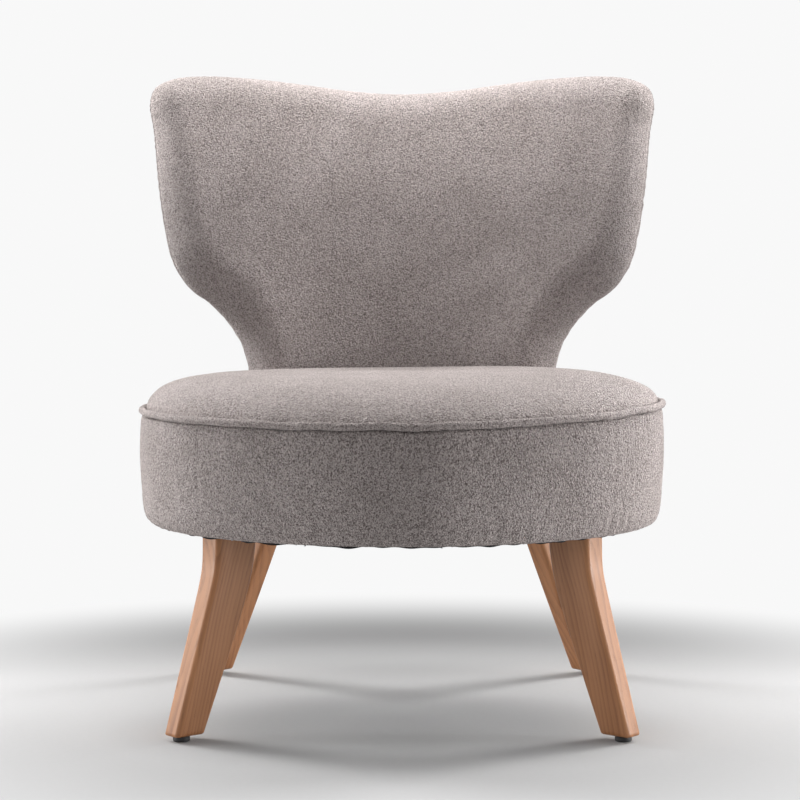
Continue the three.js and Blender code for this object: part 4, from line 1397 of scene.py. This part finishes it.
class CHAIR_OT_seat_band(Operator):
    """Build the band round the drum and the roll under it"""

    bl_idname = "slipper_chair.seat_band"
    bl_label = "Seat band"

    def execute(self, context):
        material = fabric_material("looped_pile_band", BAND_GRAIN, BAND_RELIEF)
        piece = mesh_piece("seat_band", *seat_band(), material)
        give_pile(piece, material)
        dress(piece, "upholstery", "seat_boxing", "seat_side_padding", fill=0.8)
        return {"FINISHED"}


class CHAIR_OT_seat_welt(Operator):
    """Build the sewn welt"""

    bl_idname = "slipper_chair.seat_welt"
    bl_label = "Seat welt"

    def execute(self, context):
        material = fabric_material("looped_pile_welt")
        piece = mesh_piece("seat_welt_cord", *seat_welt(), material)
        give_pile(piece, material, CORD_PILE)
        dress(piece, "upholstery", "seat_welt")
        return {"FINISHED"}


class CHAIR_OT_back(Operator):
    """Build the inside back with its padded edge, and the outside back"""

    bl_idname = "slipper_chair.back"
    bl_label = "Back"

    def execute(self, context):
        for side, name, nodes, fill in (
            (-1, "inside_back", ("back_front_cover", "back_front_foam"), 0.9),
            (1, "outside_back", ("back_rear_cover", "back_rear_padding"), 0.75),
        ):
            # The inside back gets painted light and shade in its colour.
            material = fabric_material(f"looped_pile_{name}", painted_back_light=side < 0)
            piece = mesh_piece(name, *back_pad(side), material)
            give_pile(piece, material)
            dress(piece, "upholstery", *nodes, fill=fill)
        return {"FINISHED"}


PLANK_STEP = (0.31, 0.17, 0.53)


class CHAIR_OT_legs(Operator):
    """Build the four legs and their glides"""

    bl_idname = "slipper_chair.legs"
    bl_label = "Legs and glides"

    def execute(self, context):
        wood, plastic = leg_wood_material(), glide_material()
        legs = settings().legs
        spread = math.hypot(legs.spread_x, legs.spread_y)
        for index, (name, angle) in enumerate(leg_angles().items()):
            points, grain, faces = leg_shape(name.split("_")[0])
            grain = grain + np.array(PLANK_STEP) * (index + 1)
            leg = mesh_piece(f"{name}_leg_finished", turned(points, angle), faces, wood, grain)
            dress(leg, "leg_wood", f"{name}_leg")
            disc, disc_faces = glide_shape()
            moved = turned(disc + np.array([spread, 0.0, 0.0]), angle)
            glide = mesh_piece(f"{name}_glide_finished", moved, disc_faces, plastic)
            dress(glide, "glide_plastic", f"{name}_glide")
        return {"FINISHED"}


class CHAIR_OT_underside(Operator):
    """Build the black dust cloth with its folded edge, and its staples"""

    bl_idname = "slipper_chair.underside"
    bl_label = "Underside"

    def execute(self, context):
        dust_cloth()
        staples()
        return {"FINISHED"}


CLOTH_SIDES = 480
CLOTH_RINGS = 46
CLOTH_OVERLAP = 0.0045
CLOTH_SAG = 0.004
CLOTH_THICKNESS = 0.0009
FOLD_THICKNESS = 0.0008
EDGE_WANDER = 0.0026
EDGE_HANG = 0.0009
EDGE_FOLDS = 0.0006


def dust_cloth():
    """A sagging cloth whose folded edge wanders out under the roll"""
    seat = settings().seat
    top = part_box("dust_cover")[1].z
    turn = np.arange(CLOTH_SIDES) * TURN / CLOTH_SIDES
    edge = seat.roll_inner_radius + CLOTH_OVERLAP + EDGE_WANDER * ripple(turn, 14, 60, 14, 71)
    hang = EDGE_HANG + EDGE_HANG * ripple(turn, 16, 64, 14, 72)
    folds = EDGE_FOLDS * ripple(turn, 20, 50, 10, 73)
    upper, lower = [], []
    for k in range(CLOTH_RINGS + 1):
        share = k / CLOTH_RINGS
        folded = share**14
        level = top - CLOTH_SAG * (1 - share**2) + folds * share**4 - hang * folded
        upper.append(drum_points(turn, edge * share, level))
        lower.append(drum_points(turn, edge * share, level - CLOTH_THICKNESS - FOLD_THICKNESS * folded))
    points = np.concatenate([*upper, *lower[::-1]])
    faces = ring_faces(2 * (CLOTH_RINGS + 1), CLOTH_SIDES)
    piece = mesh_piece("dust_cloth", points, faces, dust_cloth_material())
    dress(piece, "dust_cloth", "dust_cover")


STAPLE_COUNT = 132
STAPLE_TILT = 0.35
STAPLE_INSET = 0.006
STAPLE_WANDER = 0.0012
STAPLE_DROP = 0.0021
PATH_POINTS = 360


def staples():
    """Upholstery staples along the dust cloth's edge"""
    seat = settings().seat
    steel = steel_material("staple_steel", (0.55, 0.55, 0.56), 0.32)
    crown, wire, leg = 0.0105, 0.0010, 0.0022
    half = crown / 2
    outline = [(-half, -leg), (-half, 0), (half, 0), (half, -leg), (half - wire, -leg), (half - wire, -wire)]
    outline += [(-half + wire, -wire), (-half + wire, -leg)]
    rings = [[(x, y, -z) for x, z in outline] for y in (-wire / 2, wire / 2)]
    points = np.array(rings).reshape(-1, 3)
    sides = len(outline)
    faces = [*ring_faces(2, sides), range(sides), range(sides, 2 * sides)]
    item = mesh_piece("staple_item", points, faces, steel)
    turn = np.arange(PATH_POINTS) * TURN / PATH_POINTS
    radius = seat.roll_inner_radius - STAPLE_INSET + STAPLE_WANDER * ripple(turn, 12, 50, 9, 81)
    ring = drum_points(turn, radius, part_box("dust_cover")[1].z - STAPLE_DROP)
    mesh = bpy.data.meshes.new("dust_cloth_staples")
    mesh.from_pydata(ring.tolist(), [(i, (i + 1) % PATH_POINTS) for i in range(PATH_POINTS)], [])
    piece = add_object("dust_cloth_staples", mesh)
    values = {"Item": item, "Count": STAPLE_COUNT, "Tilt": STAPLE_TILT, "Seed": 3, "Material": steel}
    run_tree(piece, repeat_tree("Staples"), values)
    discard(item)
    dress(piece, "steel")


BACKDROP_LEVEL = 0.94
FLOOR_RADII = (0.0, 0.6, 1.4, 3.0, 7.0, 20.0)
FLOOR_SIDES = 96


class CHAIR_OT_stage(Operator):
    """Build the floor, the lamps, the world and the camera"""

    bl_idname = "slipper_chair.stage"
    bl_label = "Stage"

    def execute(self, context):
        build_floor()
        build_world()
        build_lamps()
        build_camera()
        context.scene.view_settings.view_transform = "Standard"
        return {"FINISHED"}


def build_floor():
    """A wide disc that keeps the chair's shadow and fades to the backdrop's white"""
    mesh = bpy.data.meshes.new("studio_floor")
    turn = np.arange(FLOOR_SIDES) * TURN / FLOOR_SIDES
    rings = [np.column_stack([r * np.cos(turn), r * np.sin(turn), 0 * turn]) for r in FLOOR_RADII]
    mesh.from_pydata(np.concatenate(rings).tolist(), [], ring_faces(len(rings), FLOOR_SIDES).tolist())
    work = bmesh.new()
    work.from_mesh(mesh)
    bmesh.ops.remove_doubles(work, verts=work.verts, dist=WELD)
    for face in work.faces:
        if face.normal.z < 0:
            face.normal_flip()
    work.to_mesh(mesh)
    work.free()
    mesh.materials.append(floor_material())
    add_object("studio_floor", mesh)


# A painted shadow under the seat's front, and painted shade far behind the chair.
SHADE_HALF_WIDTH = 0.30
SHADE_HALF_DEPTH = 0.20
SHADE_FORWARD = 0.17
SHADE_SPAN = (0.0, 1.6)
SHADE_TONE = 0.30
FAR_PAINTED_SHADE_SPAN = (-0.05, 0.75)
FAR_PAINTED_SHADE = 0.82
FADE_SPAN = (0.45, 1.0)


def floor_material():
    """A matt grey with a painted shadow in front under the seat and painted shade far behind, that fades to
    the backdrop
    """
    pale = tuple(settings().stage.floor_colour)
    shader = Shader("studio_floor")
    place = shader.place()
    speck = shader.noise(place, 140.0, detail=3.0, roughness=0.6)
    specked = shader.mix(speck.steps(0.3, 0.7), pale, tuple(0.985 * c for c in pale))
    across, back = shader.part(place, "X"), shader.part(place, "Y")
    near = (across / SHADE_HALF_WIDTH) ** 2.0 + ((back + SHADE_FORWARD) / SHADE_HALF_DEPTH) ** 2.0
    # Painted shadow under the seat and painted shade far behind.
    painted_shadow = 1.0 - (1.0 - near.steps(*SHADE_SPAN)) * SHADE_TONE
    far = 1.0 - back.steps(*FAR_PAINTED_SHADE_SPAN) * FAR_PAINTED_SHADE
    base = shader.mix(1.0, specked, painted_shadow * far, "MULTIPLY")
    matt = shader.node("ShaderNodeBsdfDiffuse", {}, {"Color": base})
    glow = shader.node("ShaderNodeEmission", {}, {"Color": WHITE, "Strength": BACKDROP_LEVEL})
    distance = shader.node("ShaderNodeVectorMath", {"operation": "LENGTH"}, {0: place}, "Value")
    fade = distance.steps(*FADE_SPAN) * shader.backdrop_seen()
    surface = shader.node("ShaderNodeMixShader", {}, {0: fade, 1: matt, 2: glow})
    shader.node("ShaderNodeOutputMaterial", {}, {"Surface": surface})
    return shader.material


def build_world():
    """Level light from all round, and a paler backdrop where it is seen itself"""
    world = bpy.data.worlds.new("studio_world")
    world.use_nodes = True
    bpy.context.scene.world = world
    nodes = Nodes(world.node_tree)
    light = nodes.node("ShaderNodeBackground", {}, {"Color": WHITE, "Strength": settings().stage.fill})
    backdrop = nodes.node("ShaderNodeBackground", {}, {"Color": WHITE, "Strength": BACKDROP_LEVEL})
    mixed = nodes.node("ShaderNodeMixShader", {}, {0: nodes.backdrop_seen(), 1: light, 2: backdrop})
    nodes.node("ShaderNodeOutputWorld", {}, {"Surface": mixed})


LAMP_COLOUR = (1.0, 0.995, 0.985)
SIDE_REACH = 2.2
SIDE_ANGLE = math.radians(121)
SIDE_HEIGHT = 1.15
LOW_SIDE_SPREAD = math.radians(30)
RIGHT_STRONGER = 0.25


def lamp(name, place, target, size, watts):
    """An oblong lamp at a place, turned towards its target"""
    data = bpy.data.lights.new(name, "AREA")
    data.shape = "RECTANGLE"
    data.size, data.size_y = size
    data.energy = watts
    data.color = LAMP_COLOUR
    made = add_object(name, data)
    made.location = place
    made.rotation_euler = (Vector(target) - Vector(place)).to_track_quat("-Z", "Y").to_euler()
    return made


def build_lamps():
    """A wide lamp above, one on each side behind the chair, and a low narrow one on each side"""
    look = settings().stage
    lamp("overhead_lamp", (0.0, 0.16, 1.35), (0.0, 0.14, 0.4), (2.6, 0.5), look.overhead)
    for side, name in ((-1, "left_lamp"), (1, "right_lamp")):
        place = (side * SIDE_REACH * math.sin(SIDE_ANGLE), -SIDE_REACH * math.cos(SIDE_ANGLE), SIDE_HEIGHT)
        lamp(name, place, (0.0, 0.0, 0.35), (0.7, 1.2), look.side)
        place, target = (side * SIDE_REACH, -0.20, 0.30), (0.0, -0.10, 0.22)
        watts = look.low_side * (1 + RIGHT_STRONGER * side)
        low = lamp(f"low_{name}", place, target, (0.5, 0.4), watts)
        low.data.spread = LOW_SIDE_SPREAD


IMAGE_SIZE = 800
SENSOR = 36.0


def build_camera():
    """The photo's view, a little downwards, so that the horizon is above the picture's middle"""
    look = settings().stage
    data = bpy.data.cameras.new("studio_camera")
    data.sensor_width = SENSOR
    data.lens = look.focal_pixels / IMAGE_SIZE * SENSOR
    data.clip_end = 100.0
    data.dof.use_dof = False
    camera = add_object("studio_camera", data)
    pitch = math.atan((IMAGE_SIZE / 2 - look.horizon_row) / look.focal_pixels)
    camera.location = (look.camera_side, AXIS_Y - look.camera_distance, look.camera_height)
    camera.rotation_euler = (math.pi / 2 - pitch, 0.0, 0.0)
    bpy.context.scene.camera = camera


class CHAIR_PT_panel(Panel):
    """Lists the steps that build the chair"""

    bl_idname = "CHAIR_PT_panel"
    bl_label = "Slipper Chair"
    bl_space_type = "VIEW_3D"
    bl_region_type = "UI"
    bl_category = "Slipper Chair"

    def draw(self, context):
        layout = self.layout
        for step in STEPS:
            layout.operator(step.bl_idname)
        chosen = settings()
        for group in (chosen.seat, chosen.back, chosen.legs, chosen.fabric, chosen.wood, chosen.stage):
            box = layout.box()
            for name in group.__annotations__:
                box.prop(group, name)


STEPS = (
    CHAIR_OT_stage,
    CHAIR_OT_frame,
    CHAIR_OT_seat_panel,
    CHAIR_OT_seat_band,
    CHAIR_OT_seat_welt,
    CHAIR_OT_back,
    CHAIR_OT_legs,
    CHAIR_OT_underside,
)
GROUPS = (SeatSizes, BackSizes, LegSizes, FabricLook, WoodLook, StageLook, ChairSettings)


def register():
    for kind in (*GROUPS, *STEPS, CHAIR_PT_panel):
        bpy.utils.register_class(kind)
    bpy.types.Scene.slipper_chair = PointerProperty(type=ChairSettings)


def unregister():
    del bpy.types.Scene.slipper_chair
    for kind in reversed((*GROUPS, *STEPS, CHAIR_PT_panel)):
        bpy.utils.unregister_class(kind)


def main():
    register()
    for step in STEPS:
        group, name = step.bl_idname.split(".")
        getattr(getattr(bpy.ops, group), name)()


if __name__ == "__main__":
    main()
